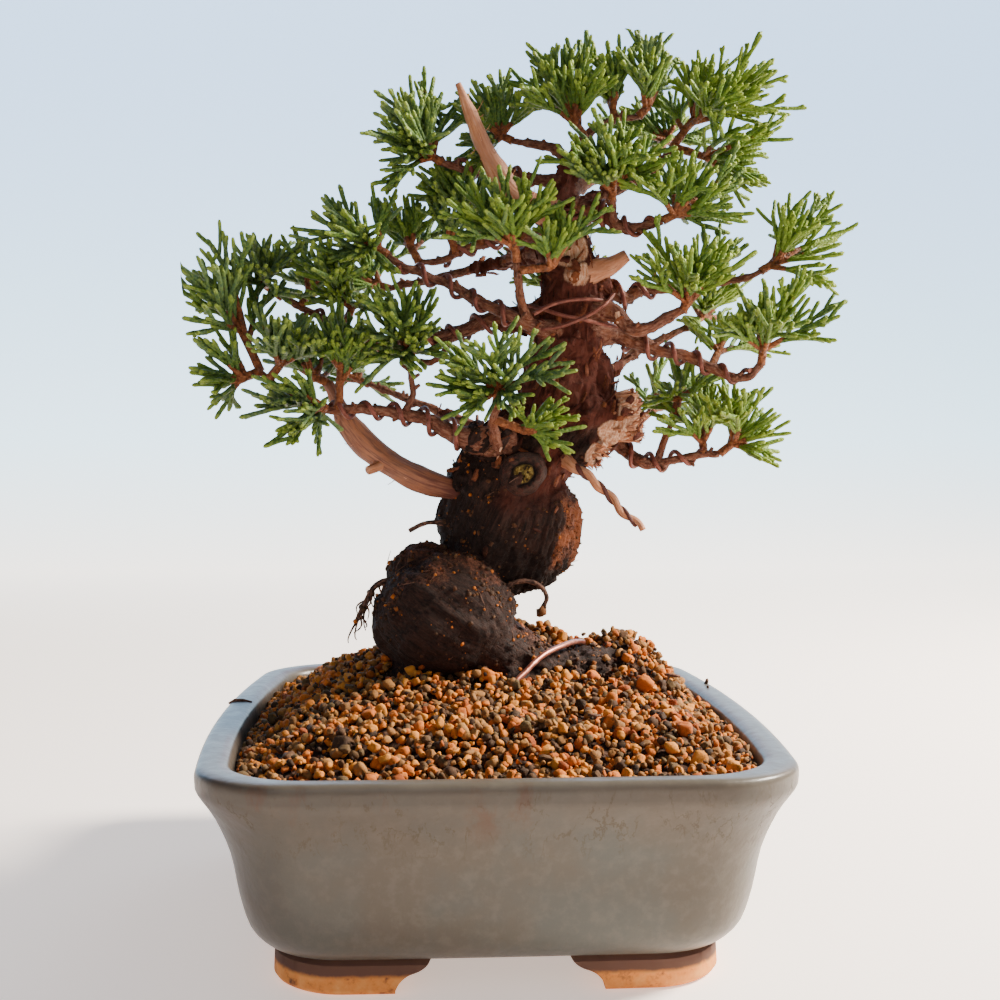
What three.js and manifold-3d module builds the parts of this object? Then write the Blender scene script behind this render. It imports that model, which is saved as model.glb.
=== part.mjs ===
// A wired juniper in training in a glazed pot: trunk and limbs, sprays of foliage, training wires,
// soil and pot. Millimetres, +Z up, +X to the right, +Y to the back. Sizes are drawn from under the
// middle of the pot, on the plane of its feet; the finished whole is moved sideways, so that the
// part's origin is under the middle of its box.
import * as THREE from "three";
import { mergeVertices } from "three/addons/utils/BufferGeometryUtils.js";
import Module from "manifold-3d";

const wasm = await Module();
wasm.setup();

// ---------------------------------------------------------------- driving dimensions

const GAP = 0.3; // clearance between separate pieces
const CUT_GAP = 0.4; // how much bigger than the wood its hole in the soil is

const POT_HALF_WIDTH = 60; // at the corners of the rim, along X
const POT_HALF_DEPTH = 78; // along Y
const POT_SIDE_BOW = 5.7; // how far the long sides swell past the corners
const POT_END_BOW = 0.8;
const POT_CORNER = 18; // radius of the rim's corners
const CORNER_STEPS = 3;
const POT_HEIGHT = 46.5;
const POT_UNDERSIDE = 7.5; // height of the body's underside over the feet
const POT_FLOOR = 13; // height of the inner floor
const FOOT_INSET = 18.2; // the feet's outer face, in from the rim
const FOOT_THICKNESS = 8;
const DRAIN_RADIUS = 7;
const DRAIN_OFFSET = 32; // each drain hole's distance from the middle, along Y

const NET_SIDE = 22; // drain net
const NET_THICKNESS = 1;
const NET_MESH = 5; // side of each opening
const NET_PITCH = 4; // each opening's middle, from the net's middle

const SOIL_EDGE = 44.3; // height of the soil along the wall
const SOIL_INSET = 7.2; // the soil's edge, in from the rim
const SOIL_SHOULDER = 6.5; // rise within the first 25 mm from the wall
const SOIL_BANDS = 14; // rings of the soil's surface
const SOIL_STEP = 6; // longest step round a ring, at the wall
const LUMP_HEIGHT = 2.3; // how high the lumps of granules stand over the dips between them
const LUMP_PITCH = 11; // how far apart the lumps are

const TRUNK_SIDES = 8;
const TRUNK_FLUTE = 0.1; // depth of the flutes, as a share of the radius
const ROOT_FLUTE = 0.06;
const ROOT_SIDES = 6;
const THICK_LIMB = 2.5; // radius past which a limb gets a fifth side

const WIRE_RADIUS = 0.6;
const WIRE_PITCH = 7; // advance of a coil per turn
const WIRE_STEPS = 6; // straight steps per turn

const STEM_RADIUS = 0.85; // a spray's woody stem
const SEATING_STEPS = 5; // moves that bring a stem's foot up to the wood
const SHOOT_RADIUS = 0.85;
const HUB_RADIUS = 1.3; // the woody knuckle that a spray's shoots grow from
const SHOOT_TRIES = 14; // tips tried, each a little further from the wanted one
const SHOOT_STEP = 4.4; // length of a shoot between its rings of side shoots
const FINGER_RADIUS = 0.85; // a side shoot
const FINGER_TIP = 0.55;
const FINGER_LENGTH = 8.5; // average
const FINGER_LEAN = 0.62; // angle between a side shoot and its shoot, radians
const FINGER_RISE = 0.25; // how much side shoots turn up towards the light
const BUD_LENGTH = 1.5; // how long a side shoot's foot is, along its shoot

// ---------------------------------------------------------------- small tools

const v = (x, y, z) => new THREE.Vector3(x, y, z);

// A repeatable number from 0 to 1 for each pair of whole numbers.
function draw(index, channel) {
  const wave = Math.sin(index * 12.9898 + channel * 78.233) * 43758.5453;
  return wave - Math.floor(wave);
}

// Slow ripples over a surface, from -1 to 1.
function ripple(x, y, z) {
  const broad = Math.sin(0.31 * x + 1.3) * Math.sin(0.27 * y + 0.4) * Math.sin(0.23 * z + 2.1);
  const fine = Math.sin(0.71 * x - 0.43 * z) * Math.sin(0.59 * y + 0.37 * z + 1);
  return 0.6 * broad + 0.4 * fine;
}

function smoothstep(low, high, value) {
  const t = Math.min(1, Math.max(0, (value - low) / (high - low)));
  return t * t * (3 - 2 * t);
}

// A closed surface from rings of equally many points: the first and last ring are capped.
function loft(rings) {
  const count = rings[0].length;
  const positions = [];
  const faces = [];
  for (const ring of rings) for (const p of ring) positions.push(p.x, p.y, p.z);
  for (let i = 0; i + 1 < rings.length; i++) {
    for (let j = 0; j < count; j++) {
      const a = i * count + j;
      const b = i * count + ((j + 1) % count);
      faces.push(a, b, b + count, a, b + count, a + count);
    }
  }
  const last = (rings.length - 1) * count;
  if (count < 7) {
    for (let j = 1; j + 1 < count; j++) {
      faces.push(0, j + 1, j, last, last + j, last + j + 1);
    }
  } else {
    const first = middle(rings[0]);
    const end = middle(rings[rings.length - 1]);
    const hub = rings.length * count;
    positions.push(first.x, first.y, first.z, end.x, end.y, end.z);
    for (let j = 0; j < count; j++) {
      const next = (j + 1) % count;
      faces.push(hub, next, j, hub + 1, last + j, last + next);
    }
  }
  const geometry = new THREE.BufferGeometry();
  geometry.setAttribute("position", new THREE.Float32BufferAttribute(positions, 3));
  geometry.setIndex(faces);
  return geometry;
}

function middle(points) {
  const sum = v(0, 0, 0);
  for (const p of points) sum.add(p);
  return sum.divideScalar(points.length);
}

// Frames along a line of points, carried on without twist.
function framesAlong(points) {
  const frames = [];
  let side = null;
  for (let i = 0; i < points.length; i++) {
    const before = points[Math.max(0, i - 1)];
    const after = points[Math.min(points.length - 1, i + 1)];
    const along = after.clone().sub(before).normalize();
    if (!side) side = Math.abs(along.z) < 0.8 ? v(0, 0, 1) : v(1, 0, 0);
    side = side.clone().addScaledVector(along, -side.dot(along)).normalize();
    frames.push({ along, side, other: along.clone().cross(side) });
  }
  return frames;
}

// A tapered tube through stations of [x, y, z, radius], grown by `extra` all round.
function tube(stations, sides, extra = 0, flute = 0) {
  const points = stations.map((s) => v(s[0], s[1], s[2]));
  if (extra) {
    const last = points.length - 1;
    points[0].addScaledVector(points[0].clone().sub(points[1]).normalize(), extra);
    points[last].addScaledVector(points[last].clone().sub(points[last - 1]).normalize(), extra);
  }
  const frames = framesAlong(points);
  const rings = points.map((centre, i) => {
    const ring = [];
    for (let j = 0; j < sides; j++) {
      const turn = (2 * Math.PI * j) / sides;
      const fluting = 1 - flute * (0.5 + 0.5 * Math.sin(3 * turn + 0.8 * i));
      const radius = stations[i][3] * fluting + extra;
      ring.push(
        centre
          .clone()
          .addScaledVector(frames[i].side, radius * Math.cos(turn))
          .addScaledVector(frames[i].other, radius * Math.sin(turn)),
      );
    }
    return ring;
  });
  return loft(rings);
}

// A rounded burl: an ellipsoid with ripples.
function burl({ centre, radii, rough }, extra = 0) {
  const geometry = new THREE.IcosahedronGeometry(1, 2);
  const positions = geometry.getAttribute("position");
  for (let i = 0; i < positions.count; i++) {
    const [x, y, z] = [0, 1, 2].map((axis) => positions.getComponent(i, axis));
    const swell = 1 + rough * ripple(9 * x + centre[0], 9 * y + centre[1], 9 * z + centre[2]);
    positions.setXYZ(
      i,
      centre[0] + x * (radii[0] * swell + extra),
      centre[1] + y * (radii[1] * swell + extra),
      centre[2] + z * (radii[2] * swell + extra),
    );
  }
  return geometry;
}

// A geometry as a solid that can be joined and cut.
function solid(geometry) {
  const bare = geometry.clone();
  bare.deleteAttribute("normal");
  bare.deleteAttribute("uv");
  const merged = mergeVertices(bare, 1e-4);
  const made = new wasm.Mesh({
    numProp: 3,
    vertProperties: merged.getAttribute("position").array,
    triVerts: new Uint32Array(merged.getIndex().array),
  });
  return new wasm.Manifold(made);
}

function fuse(geometries) {
  return geometries.map(solid).reduce((whole, piece) => whole.add(piece));
}

function material(color, roughness, metalness = 0) {
  return new THREE.MeshStandardMaterial({ color, roughness, metalness });
}

const wood = material(0x5b3a2a, 0.85);
const leaf = material(0x55803a, 0.6);
const glaze = material(0x8d9694, 0.3);
const grit = material(0xa8743f, 0.95);
const copper = material(0x6b3b30, 0.4, 0.9);
const netting = material(0x23301f, 0.6);

// A named mesh of a solid, placed at the middle of its box.
function piece(name, shape, look) {
  const { vertProperties, triVerts, numProp } = shape.getMesh();
  const positions = [];
  for (let i = 0; i < vertProperties.length; i += numProp) {
    positions.push(vertProperties[i], vertProperties[i + 1], vertProperties[i + 2]);
  }
  const geometry = new THREE.BufferGeometry();
  geometry.setAttribute("position", new THREE.Float32BufferAttribute(positions, 3));
  geometry.setIndex(Array.from(triVerts));
  geometry.computeBoundingBox();
  const centre = geometry.boundingBox.getCenter(v(0, 0, 0));
  geometry.translate(-centre.x, -centre.y, -centre.z);
  const mesh = new THREE.Mesh(geometry, look);
  mesh.name = name;
  mesh.position.copy(centre);
  return mesh;
}

// ---------------------------------------------------------------- pot

// The pot's plan, drawn in from the rim by `inset`, at height z.
function potPlan(inset, z) {
  const a = POT_HALF_WIDTH - inset;
  const b = POT_HALF_DEPTH - inset;
  const corner = POT_CORNER - 0.35 * inset;
  const swell = 1 - 0.02 * inset;
  const ring = [];
  for (let quarter = 0; quarter < 4; quarter++) {
    const sx = quarter === 0 || quarter === 3 ? 1 : -1;
    const sy = quarter < 2 ? 1 : -1;
    for (let i = 0; i <= CORNER_STEPS; i++) {
      const turn = ((quarter + i / CORNER_STEPS) * Math.PI) / 2;
      const round = [corner * Math.cos(turn), corner * Math.sin(turn)];
      ring.push([sx * (a - corner) + round[0], sy * (b - corner) + round[1]]);
    }
    const long = quarter % 2 === 1;
    const stops = long ? 3 : 1;
    for (let i = 1; i <= stops; i++) {
      const t = 1 - (2 * i) / (stops + 1);
      if (long) ring.push([sx * a, sy * (b - corner) * t]);
      else ring.push([sx * (a - corner) * t, sy * b]);
    }
  }
  return ring.map(([x, y]) => {
    const sideways = Math.max(0, 1 - (y / b) ** 2);
    const endways = Math.max(0, 1 - (x / a) ** 2);
    const bowX = POT_SIDE_BOW * swell * sideways * (x / a);
    const bowY = POT_END_BOW * swell * endways * (y / b);
    return v(x + bowX, y + bowY, z);
  });
}

// [height, inset] up the outside of the body and down its inside.
const POT_OUTSIDE = [
  [POT_UNDERSIDE, 17.5],
  [9, 14.9],
  [12.5, 12],
  [19, 9.7],
  [28, 7.7],
  [36, 4.1],
  [41.2, 0.5],
  [45, 0],
  [POT_HEIGHT, 1.1],
];
const POT_INSIDE = [
  [POT_HEIGHT, 5.6],
  [45.3, 6.5],
  [40.5, 7.1],
  [35, 10],
  [20, 15],
  [POT_FLOOR, 20],
];

// An opening between two feet: narrow at the top, bracket-shaped down to the ground.
function footArch(halfTop, halfGround, length) {
  const shape = new THREE.Shape();
  shape.moveTo(-halfGround, -1);
  shape.lineTo(halfGround, -1);
  shape.lineTo(halfGround, 0.8);
  shape.quadraticCurveTo(halfGround - 1, 3.6, halfGround - 4, 4.4);
  shape.quadraticCurveTo(halfTop + 1, 5.2, halfTop, POT_UNDERSIDE);
  shape.lineTo(-halfTop, POT_UNDERSIDE);
  shape.quadraticCurveTo(-halfTop - 1, 5.2, 4 - halfGround, 4.4);
  shape.quadraticCurveTo(1 - halfGround, 3.6, -halfGround, 0.8);
  const arch = new THREE.ExtrudeGeometry(shape, { depth: length, bevelEnabled: false, curveSegments: 3 });
  arch.rotateX(Math.PI / 2);
  arch.translate(0, length / 2, 0);
  return arch;
}

function makePot() {
  const rings = [...POT_OUTSIDE, ...POT_INSIDE].map(([z, inset]) => potPlan(inset, z));
  let pot = solid(loft(rings));
  for (const side of [-1, 1]) {
    const drain = new THREE.CylinderGeometry(DRAIN_RADIUS, DRAIN_RADIUS, 20, 16);
    drain.rotateX(Math.PI / 2);
    drain.translate(0, side * DRAIN_OFFSET, POT_FLOOR);
    pot = pot.subtract(solid(drain));
  }
  return piece("pot", pot, glaze);
}

// The feet: a low ring under the body, cut into its four corners by an arch on each side.
function makeFeet() {
  const under = POT_UNDERSIDE - GAP;
  const ring = loft([potPlan(FOOT_INSET + 0.5, 0), potPlan(FOOT_INSET, 1.2), potPlan(FOOT_INSET, under)]);
  const within = FOOT_INSET + FOOT_THICKNESS;
  const hollow = loft([potPlan(within, -1), potPlan(within + 1, POT_UNDERSIDE)]);
  const endArch = footArch(14, 21.5, 2 * POT_HALF_DEPTH);
  const sideArch = footArch(24, 32, 2 * POT_HALF_DEPTH);
  sideArch.rotateZ(Math.PI / 2);
  const feet = solid(ring).subtract(solid(hollow)).subtract(solid(endArch)).subtract(solid(sideArch));
  return feet.decompose().map((foot) => {
    const { min, max } = foot.boundingBox();
    const end = min[1] + max[1] < 0 ? "front" : "back";
    const side = min[0] + max[0] < 0 ? "left" : "right";
    return piece(`foot_${end}_${side}`, foot, glaze);
  });
}

function makeDrainNet(side) {
  const centre = v(0, side * DRAIN_OFFSET, POT_FLOOR + GAP + NET_THICKNESS / 2);
  const block = (x, y, width, height) => {
    const box = new THREE.BoxGeometry(width, width, height);
    box.translate(centre.x + x, centre.y + y, centre.z);
    return solid(box);
  };
  let net = block(0, 0, NET_SIDE, NET_THICKNESS);
  for (const i of [-1, 1]) {
    for (const j of [-1, 1]) {
      net = net.subtract(block(i * NET_PITCH, j * NET_PITCH, NET_MESH, 2 * NET_THICKNESS));
    }
  }
  return piece(side < 0 ? "drain_net_front" : "drain_net_back", net, netting);
}

// ---------------------------------------------------------------- wood

// The burls of the trunk's foot, and the trunk over them, as [x, y, z, radius].
const BURLS = [
  { centre: [-10, -8, 72], radii: [17, 15.5, 16], rough: 0.06 },
  { centre: [-15, -3, 79.5], radii: [9.5, 9, 8.5], rough: 0.1 },
  { centre: [6, 6, 92], radii: [17.5, 16.5, 17.5], rough: 0.1 },
];
const TRUNK = [
  [3, 5, 96, 15],
  [7, 5, 104, 14.5],
  [12, 5, 111, 12.5],
  [18, 4.5, 118, 11.5],
  [20.5, 4, 126, 11.8],
  [20.5, 3, 133, 10],
  [20.5, 2, 139, 8.6],
  [20.5, 1.5, 147, 7.6],
  [21.5, 1, 155, 6.8],
  [20.5, 1, 163, 6],
  [18.5, 1, 170, 5.2],
  [19.5, 1, 177, 3.8],
  [21.5, 1, 183, 2.7],
];
// Roots, the first of them the ridge that stands out of the soil.
const ROOTS = [
  [[-6, -8, 66, 12], [4, -8, 60, 9.5], [16, -4, 54.5, 8], [30, 1, 53.5, 7.5], [42, 6, 50.5, 6.5],
    [51, 10, 45, 3.5]],
  [[-12, -8, 62, 9], [-23, -15, 50, 5], [-36, -22, 38, 2]],
  [[-8, -4, 62, 9], [-9, 12, 48, 6], [-14, 34, 36, 2.4]],
  [[2, -8, 60, 8], [8, -20, 46, 5], [14, -38, 34, 2]],
  [[18, -2, 54, 7], [24, 16, 43, 4.5], [30, 38, 32, 2]],
];

// Limbs as [x, y, z, radius] from the trunk out. `wired` is the stretch that a wire is coiled on,
// in stations.
const LIMBS = {
  left_low: {
    line: [[5, -3, 113, 5], [-2, -7, 113.5, 4], [-8.5, -8, 115, 3], [-14, -8, 118, 2.4],
      [-20, -8, 119.5, 2.1], [-27, -9, 120.5, 1.9], [-34.5, -10, 120.5, 1.7], [-40.5, -10, 121, 1.4],
      [-45, -11, 123, 1.3], [-50, -12, 126, 1.2], [-54, -12, 129.5, 1]],
    wired: [1.6, 8.5],
  },
  left_low_riser: { line: [[-20, -8, 119.5, 1.4], [-18, -9, 124.5, 1.2], [-18.5, -10, 128.5, 1.1],
    [-19, -11, 132, 1]] },
  left_mid: {
    line: [[13.5, 1, 144, 4.2], [5, 2, 143.5, 3.2], [0, 2, 143, 2.6], [-6, 3, 140.5, 2.5],
      [-11.5, 4, 139, 2.4], [-16.5, 5, 139.5, 2.2], [-21.5, 6, 138, 2], [-29, 6, 138, 1.8],
      [-35.5, 6, 141, 1.6], [-41.5, 6, 144.5, 1.4], [-46.5, 6, 147, 1.2], [-50.5, 6, 149, 1]],
    wired: [0.9, 9.4],
  },
  left_mid_drop: { line: [[-9, 3, 138.5, 1.4], [-10.5, 0, 135, 1.2], [-13.5, -2, 132.5, 1.1],
    [-16.5, -3, 133, 1]] },
  left_high: {
    line: [[17, -3, 140, 3.6], [11, -7, 141, 2.6], [6, -9, 143, 2.1], [0.5, -9, 145.5, 1.9],
      [-3.5, -8, 147.5, 1.8], [-7.5, -7, 150, 1.7], [-12, -7, 152, 1.5], [-17, -7, 154, 1.4],
      [-20.5, -7, 155.5, 1.3], [-24, -7, 158, 1.1]],
    wired: [1.9, 8.2],
  },
  left_back: {
    line: [[15, 4, 164.5, 3], [8, 6, 164.5, 1.8], [1, 8, 163.5, 1.6], [-4, 8, 162, 1.5],
      [-8.5, 8, 160, 1.4], [-12.5, 8, 158.5, 1.3], [-16.5, 8, 158.5, 1.1]],
    wired: [0.9, 4.5],
  },
  front_riser: { line: [[10.5, -7, 141.5, 1.8], [8, -12, 146, 1.6], [7, -16, 150.5, 1.4],
    [6.5, -17, 155, 1.2]] },
  front_low: { line: [[2.5, -7, 111, 2.4], [1, -15, 117, 1.6], [1.5, -19, 121, 1.3]] },
  high_left: {
    line: [[19, 1, 177.5, 3], [13.5, 3, 178.5, 2], [7.5, 4.5, 180, 1.7], [1, 4.5, 181, 1.5],
      [-5, 3, 181, 1.5], [-11, 0, 182, 1.2]],
    wired: [1, 4.4],
  },
  crown_left: { line: [[21.5, 2, 183, 2.4], [17.5, 3, 186, 1.8], [12.5, 4, 187.5, 1.5], [7, 5, 188.5, 1.2]] },
  crown: { line: [[21.5, 1, 183, 2.6], [24, 1, 187.5, 2], [27.5, 2, 191, 1.5], [31.5, 2, 193, 1.2],
    [38.5, 3, 194.5, 1]] },
  crown_right: {
    line: [[22, 3, 170, 4], [30.5, 6, 175.5, 2.4], [37.5, 8, 179, 2], [44.5, 9, 183.5, 1.7],
    [48.5, 10, 188.5, 1.3]],
    wired: [0.9, 3.3],
  },
  right_high: {
    line: [[22.5, -1, 170, 4.2], [28.5, -4, 169, 2.6], [32, -6, 165.5, 2.2], [37, -8, 165, 1.7],
    [42.5, -9, 166.5, 1.4]],
    wired: [0.9, 3.7],
  },
  right_high_riser: { line: [[31.5, -6, 166, 1.6], [30.5, -8, 169, 1.4], [30, -10, 171.5, 1.1]] },
  right_mid_back: {
    line: [[22.5, 2, 151, 5], [30.5, 4, 151, 3.2], [35.5, 5, 149.5, 2.4], [40.5, 6, 151.5, 1.8],
      [54, 4, 152.5, 1.4], [64.5, 2, 154, 1.2], [69.5, 2, 156, 1]],
    wired: [1, 3.8],
  },
  right_mid: { line: [[23, -1, 146, 5], [31, -5, 144.5, 3], [35.5, -7, 140.5, 2.5],
    [40, -9, 141, 2.2], [44, -10, 143, 1.8], [47.5, -10, 145, 1.4]] },
  right_low_mid: {
    line: [[23, 1, 140.5, 5.5], [32.5, 1, 139.5, 2.9], [38.5, 0, 137.5, 2.5], [43.5, -1, 135.5, 2.1],
      [49.5, -2, 134.5, 1.9], [54.5, -3, 132, 1.8], [60, -4, 129.5, 1.6], [65, -5, 129, 1.4],
      [68, -5, 132, 1.2]],
    wired: [1.4, 7.2],
  },
  right_low: {
    line: [[25, 5, 115.5, 5], [32.5, 8, 113.5, 2.6], [36, 9, 111, 2.3], [39.5, 8, 108.5, 2.1],
      [43.5, 8, 107.5, 1.9], [48, 7, 108.5, 1.7], [54.5, 6, 109.5, 1.4], [60, 5, 110, 1.1]],
    wired: [1.4, 6.3],
  },
  right_low_riser: { line: [[44.5, 8, 108, 1.5], [46.5, 8, 114, 1.2], [49, 8, 120, 1]] },
  back_right: { line: [[21.5, 6, 123.5, 6], [31.5, 24, 130, 2.4], [44, 34, 138.5, 1.8], [59, 40, 146, 1.3]] },
  back_left: { line: [[19, 4, 161, 4.5], [5, 24, 161, 2.2], [-11, 34, 158, 1.7], [-24.5, 38, 155.5, 1.2]] },
  back_high: { line: [[19.5, 3, 175, 3.2], [31, 18, 183, 2], [43, 28, 189.5, 1.5], [49.5, 34, 193.5, 1.2]] },
  back_mid: { line: [[20.5, 4, 141, 5], [24, 22, 146, 2.2], [21.5, 39, 150, 1.3]] },
  back_base: { line: [[18, 8, 113, 6], [32, 20, 114, 2.4], [44, 33, 119, 1.4]] },
  back_low: { line: [[9.5, 12, 109, 5], [-3, 30, 118, 2.2], [-19, 40, 125, 1.5], [-30.5, 44, 129.5, 1.1]] },
};

// Bare dead wood, broken stubs and loose rootlets.
const DEADWOOD = {
  left_jin: [[-8, -2, 101, 4.2], [-16, -2, 103.5, 3.5], [-25, 0, 108.5, 3.5], [-30.5, 1, 113, 3.7],
    [-34.5, 1, 118, 3.3], [-36.5, 1.5, 122.5, 1.9], [-39, 2, 127.5, 1.5]],
  left_jin_knot: [[-25, -1, 107.5, 2], [-29, -4, 106, 1.4]],
  top_jin: [[17.5, -2, 168.5, 4.2], [11, -3, 171, 3.1], [5.5, -5, 174.5, 2.7], [2, -6, 179.5, 2.4],
    [-1, -6, 185, 2.1], [-4, -6, 192.5, 1.6], [-7, -6, 199.5, 0.8]],
  right_jin: [[21.5, -2, 154.5, 5], [25.5, -4, 155, 3.2], [30.5, -5, 156.5, 2.4], [34.5, -6, 158, 1.9]],
  stump: [[22, -1, 116.5, 8], [30, -4, 118.5, 6.6], [37, -6, 119.5, 6]],
  stump_spike: [[21, -1, 113.5, 7], [28, -5, 109.5, 3.4]],
  pruning_scar: [[6, -6, 104.5, 3.4], [5.6, -11.5, 105.5, 3]],
  dry_twig: [[19.5, -4, 108.5, 2.4], [22.5, -8, 106, 1.3], [27.5, -9, 102, 1.1], [32.5, -9, 96.5, 1],
    [38, -9, 91.5, 0.9]],
  root_arc: [[3, -6, 74, 1.2], [4.5, -8, 77.5, 1], [8.5, -8, 79, 0.9], [12.5, -8, 78, 0.9],
    [14.5, -8, 75, 0.9], [13, -8, 71.5, 0.8]],
  root_hang: [[-22, -6, 79.5, 1.6], [-27, -7, 78, 1.2], [-29.5, -8, 74, 1.1], [-32, -9, 69, 0.8]],
  root_twig: [[-8, 1, 92.5, 1.6], [-13, 0, 93, 1], [-16, -1, 92.5, 0.9], [-19, -2, 91, 0.8]],
};

// What foliage and wires keep clear of: straight round-ended rods, each with its owner.
const rods = [];

function addRods(line, owner, woody) {
  for (let i = 0; i + 1 < line.length; i++) {
    const [start, end] = [line[i], line[i + 1]];
    const [a, b] = [start, end].map(([x, y, z]) => v(x, y, z));
    rods.push({ a, b, ra: start[3], rb: end[3], owner, woody });
  }
}

function makeWood() {
  const parts = BURLS.map((b) => burl(b));
  parts.push(tube(TRUNK, TRUNK_SIDES, 0, TRUNK_FLUTE));
  for (const line of ROOTS) parts.push(tube(line, ROOT_SIDES, 0, ROOT_FLUTE));
  for (const { line } of Object.values(LIMBS)) parts.push(tube(line, line[1][3] > THICK_LIMB ? 5 : 4));
  for (const line of Object.values(DEADWOOD)) {
    parts.push(tube(line, line[0][3] > THICK_LIMB ? 5 : 4, 0, ROOT_FLUTE));
  }
  for (const { centre, radii } of BURLS) {
    const ball = [...centre, Math.max(...radii)];
    addRods([ball, ball], "burl", true);
  }
  addRods(TRUNK, "trunk", true);
  for (const line of ROOTS) addRods(line, "root", true);
  for (const [name, { line }] of Object.entries(LIMBS)) addRods(line, name, true);
  for (const [name, line] of Object.entries(DEADWOOD)) addRods(line, name, true);
  return fuse(parts);
}

function closestOnSegments(p1, q1, p2, q2) {
  const d1 = q1.clone().sub(p1);
  const d2 = q2.clone().sub(p2);
  const r = p1.clone().sub(p2);
  const a = Math.max(d1.dot(d1), 1e-9);
  const e = Math.max(d2.dot(d2), 1e-9);
  const f = d2.dot(r);
  const c = d1.dot(r);
  const b = d1.dot(d2);
  const denominator = a * e - b * b;
  const clamp = (value) => Math.min(1, Math.max(0, value));
  let s = denominator > 1e-9 ? clamp((b * f - c * e) / denominator) : 0;
  let t = (b * s + f) / e;
  if (t < 0 || t > 1) {
    t = clamp(t);
    s = clamp((b * t - c) / a);
  }
  return [p1.clone().addScaledVector(d1, s), p2.clone().addScaledVector(d2, t), s, t];
}

// The least clearance of a rod from the other rods, leaving out those of one owner.
function clearance(rod, others, owner) {
  let least = Infinity;
  for (const other of others) {
    if (other.owner === owner) continue;
    const [p, q, s, t] = closestOnSegments(rod.a, rod.b, other.a, other.b);
    const mine = rod.ra + (rod.rb - rod.ra) * s;
    const theirs = other.ra + (other.rb - other.ra) * t;
    least = Math.min(least, p.distanceTo(q) - mine - theirs);
  }
  return least;
}

// ---------------------------------------------------------------- soil

// Heaps on the soil: [x, y, height, reach along X, reach along Y].
const HEAPS = [
  [-8, 4, 11, 36, 34],
  [38, 6, 10.5, 16, 13],
  [12, 8, 6, 10, 10],
];

// Lumps of granules, from -1 in the dips to 1 on top, a little out of line.
function lumps(x, y) {
  const turn = (Math.SQRT2 * Math.PI) / LUMP_PITCH;
  return Math.sin(turn * x + 1.1 * Math.sin(0.11 * y + 0.6)) * Math.sin(turn * y + 1.1 * Math.sin(0.13 * x + 2.2));
}

function soilHeight(x, y, fromWall) {
  let z = SOIL_EDGE + SOIL_SHOULDER * smoothstep(0, 25, fromWall) - 1.6 * smoothstep(20, 55, -x);
  for (const [cx, cy, height, rx, ry] of HEAPS) {
    const inside = smoothstep(0, 14, fromWall);
    z += inside * height * Math.exp(-(((x - cx) / rx) ** 2) - ((y - cy) / ry) ** 2);
  }
  z += 0.5 * LUMP_HEIGHT * smoothstep(0, 9, fromWall) * lumps(x, y);
  return z + 0.9 * ripple(2.1 * x, 2.3 * y, 5) + 0.5 * ripple(5 * x, 5 * y, 3);
}

// The same ring with straight steps put in, as many on each side as the plan's own side needs.
function stepped(ring, plan) {
  return ring.flatMap((p, i) => {
    const next = (i + 1) % ring.length;
    const steps = Math.ceil(plan[i].distanceTo(plan[next]) / SOIL_STEP);
    return Array.from({ length: steps }, (_, k) => p.clone().lerp(ring[next], k / steps));
  });
}

function makeSoil() {
  const plan = potPlan(SOIL_INSET, 0);
  const wall = POT_INSIDE.slice(2)
    .reverse()
    .map(([z, inset], i) => stepped(potPlan(inset + CUT_GAP, i === 0 ? z + GAP : z), plan));
  const edge = stepped(plan, plan);
  const rings = [];
  for (let i = 0; i < SOIL_BANDS; i++) {
    const k = 1 - i / SOIL_BANDS;
    rings.push(
      edge.map((p) => {
        const fromWall = (1 - k) * p.length();
        return v(p.x * k, p.y * k, soilHeight(p.x * k, p.y * k, fromWall));
      }),
    );
  }
  let soil = solid(loft([...wall, ...rings]));
  soil = soil.subtract(solid(burl(BURLS[0], CUT_GAP)));
  for (const line of ROOTS) soil = soil.subtract(solid(tube(line, ROOT_SIDES, CUT_GAP, ROOT_FLUTE)));
  for (const side of [-1, 1]) {
    const width = NET_SIDE + 2 * GAP;
    const pocket = new THREE.BoxGeometry(width, width, 2 * (NET_THICKNESS + 2 * GAP));
    pocket.translate(0, side * DRAIN_OFFSET, POT_FLOOR);
    soil = soil.subtract(solid(pocket));
  }
  const tieWire = TIE_WIRE.map(([x, y, z]) => [x, y, z, WIRE_RADIUS]);
  soil = soil.subtract(solid(tube(tieWire, 4, 2 * CUT_GAP)));
  return piece("soil", soil, grit);
}

// ---------------------------------------------------------------- wires

function makeWire(name, points) {
  const line = points.map((p) => [p.x, p.y, p.z, WIRE_RADIUS]);
  addRods(line, name, false);
  return { name, shape: solid(tube(line, 3)) };
}

// A coil of wire along a limb, between two stations, from a starting angle.
function coil(line, [from, to], start) {
  const points = line.map((s) => v(s[0], s[1], s[2]));
  const frames = framesAlong(points);
  const made = [];
  let turn = start;
  for (let t = from; t < to; ) {
    const i = Math.min(Math.floor(t), points.length - 2);
    const f = t - i;
    const along = frames[i].along.clone().lerp(frames[i + 1].along, f).normalize();
    const side = frames[i].side.clone().lerp(frames[i + 1].side, f);
    side.addScaledVector(along, -side.dot(along)).normalize();
    const other = along.clone().cross(side);
    const radius = line[i][3] + (line[i + 1][3] - line[i][3]) * f;
    const reach = (radius + GAP + WIRE_RADIUS + 0.1) / Math.cos(Math.PI / WIRE_STEPS);
    const point = points[i].clone().lerp(points[i + 1], f);
    point.addScaledVector(side, reach * Math.cos(turn)).addScaledVector(other, reach * Math.sin(turn));
    made.push(point);
    t += WIRE_PITCH / WIRE_STEPS / points[i].distanceTo(points[i + 1]);
    turn += (2 * Math.PI) / WIRE_STEPS;
  }
  return made;
}

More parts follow.
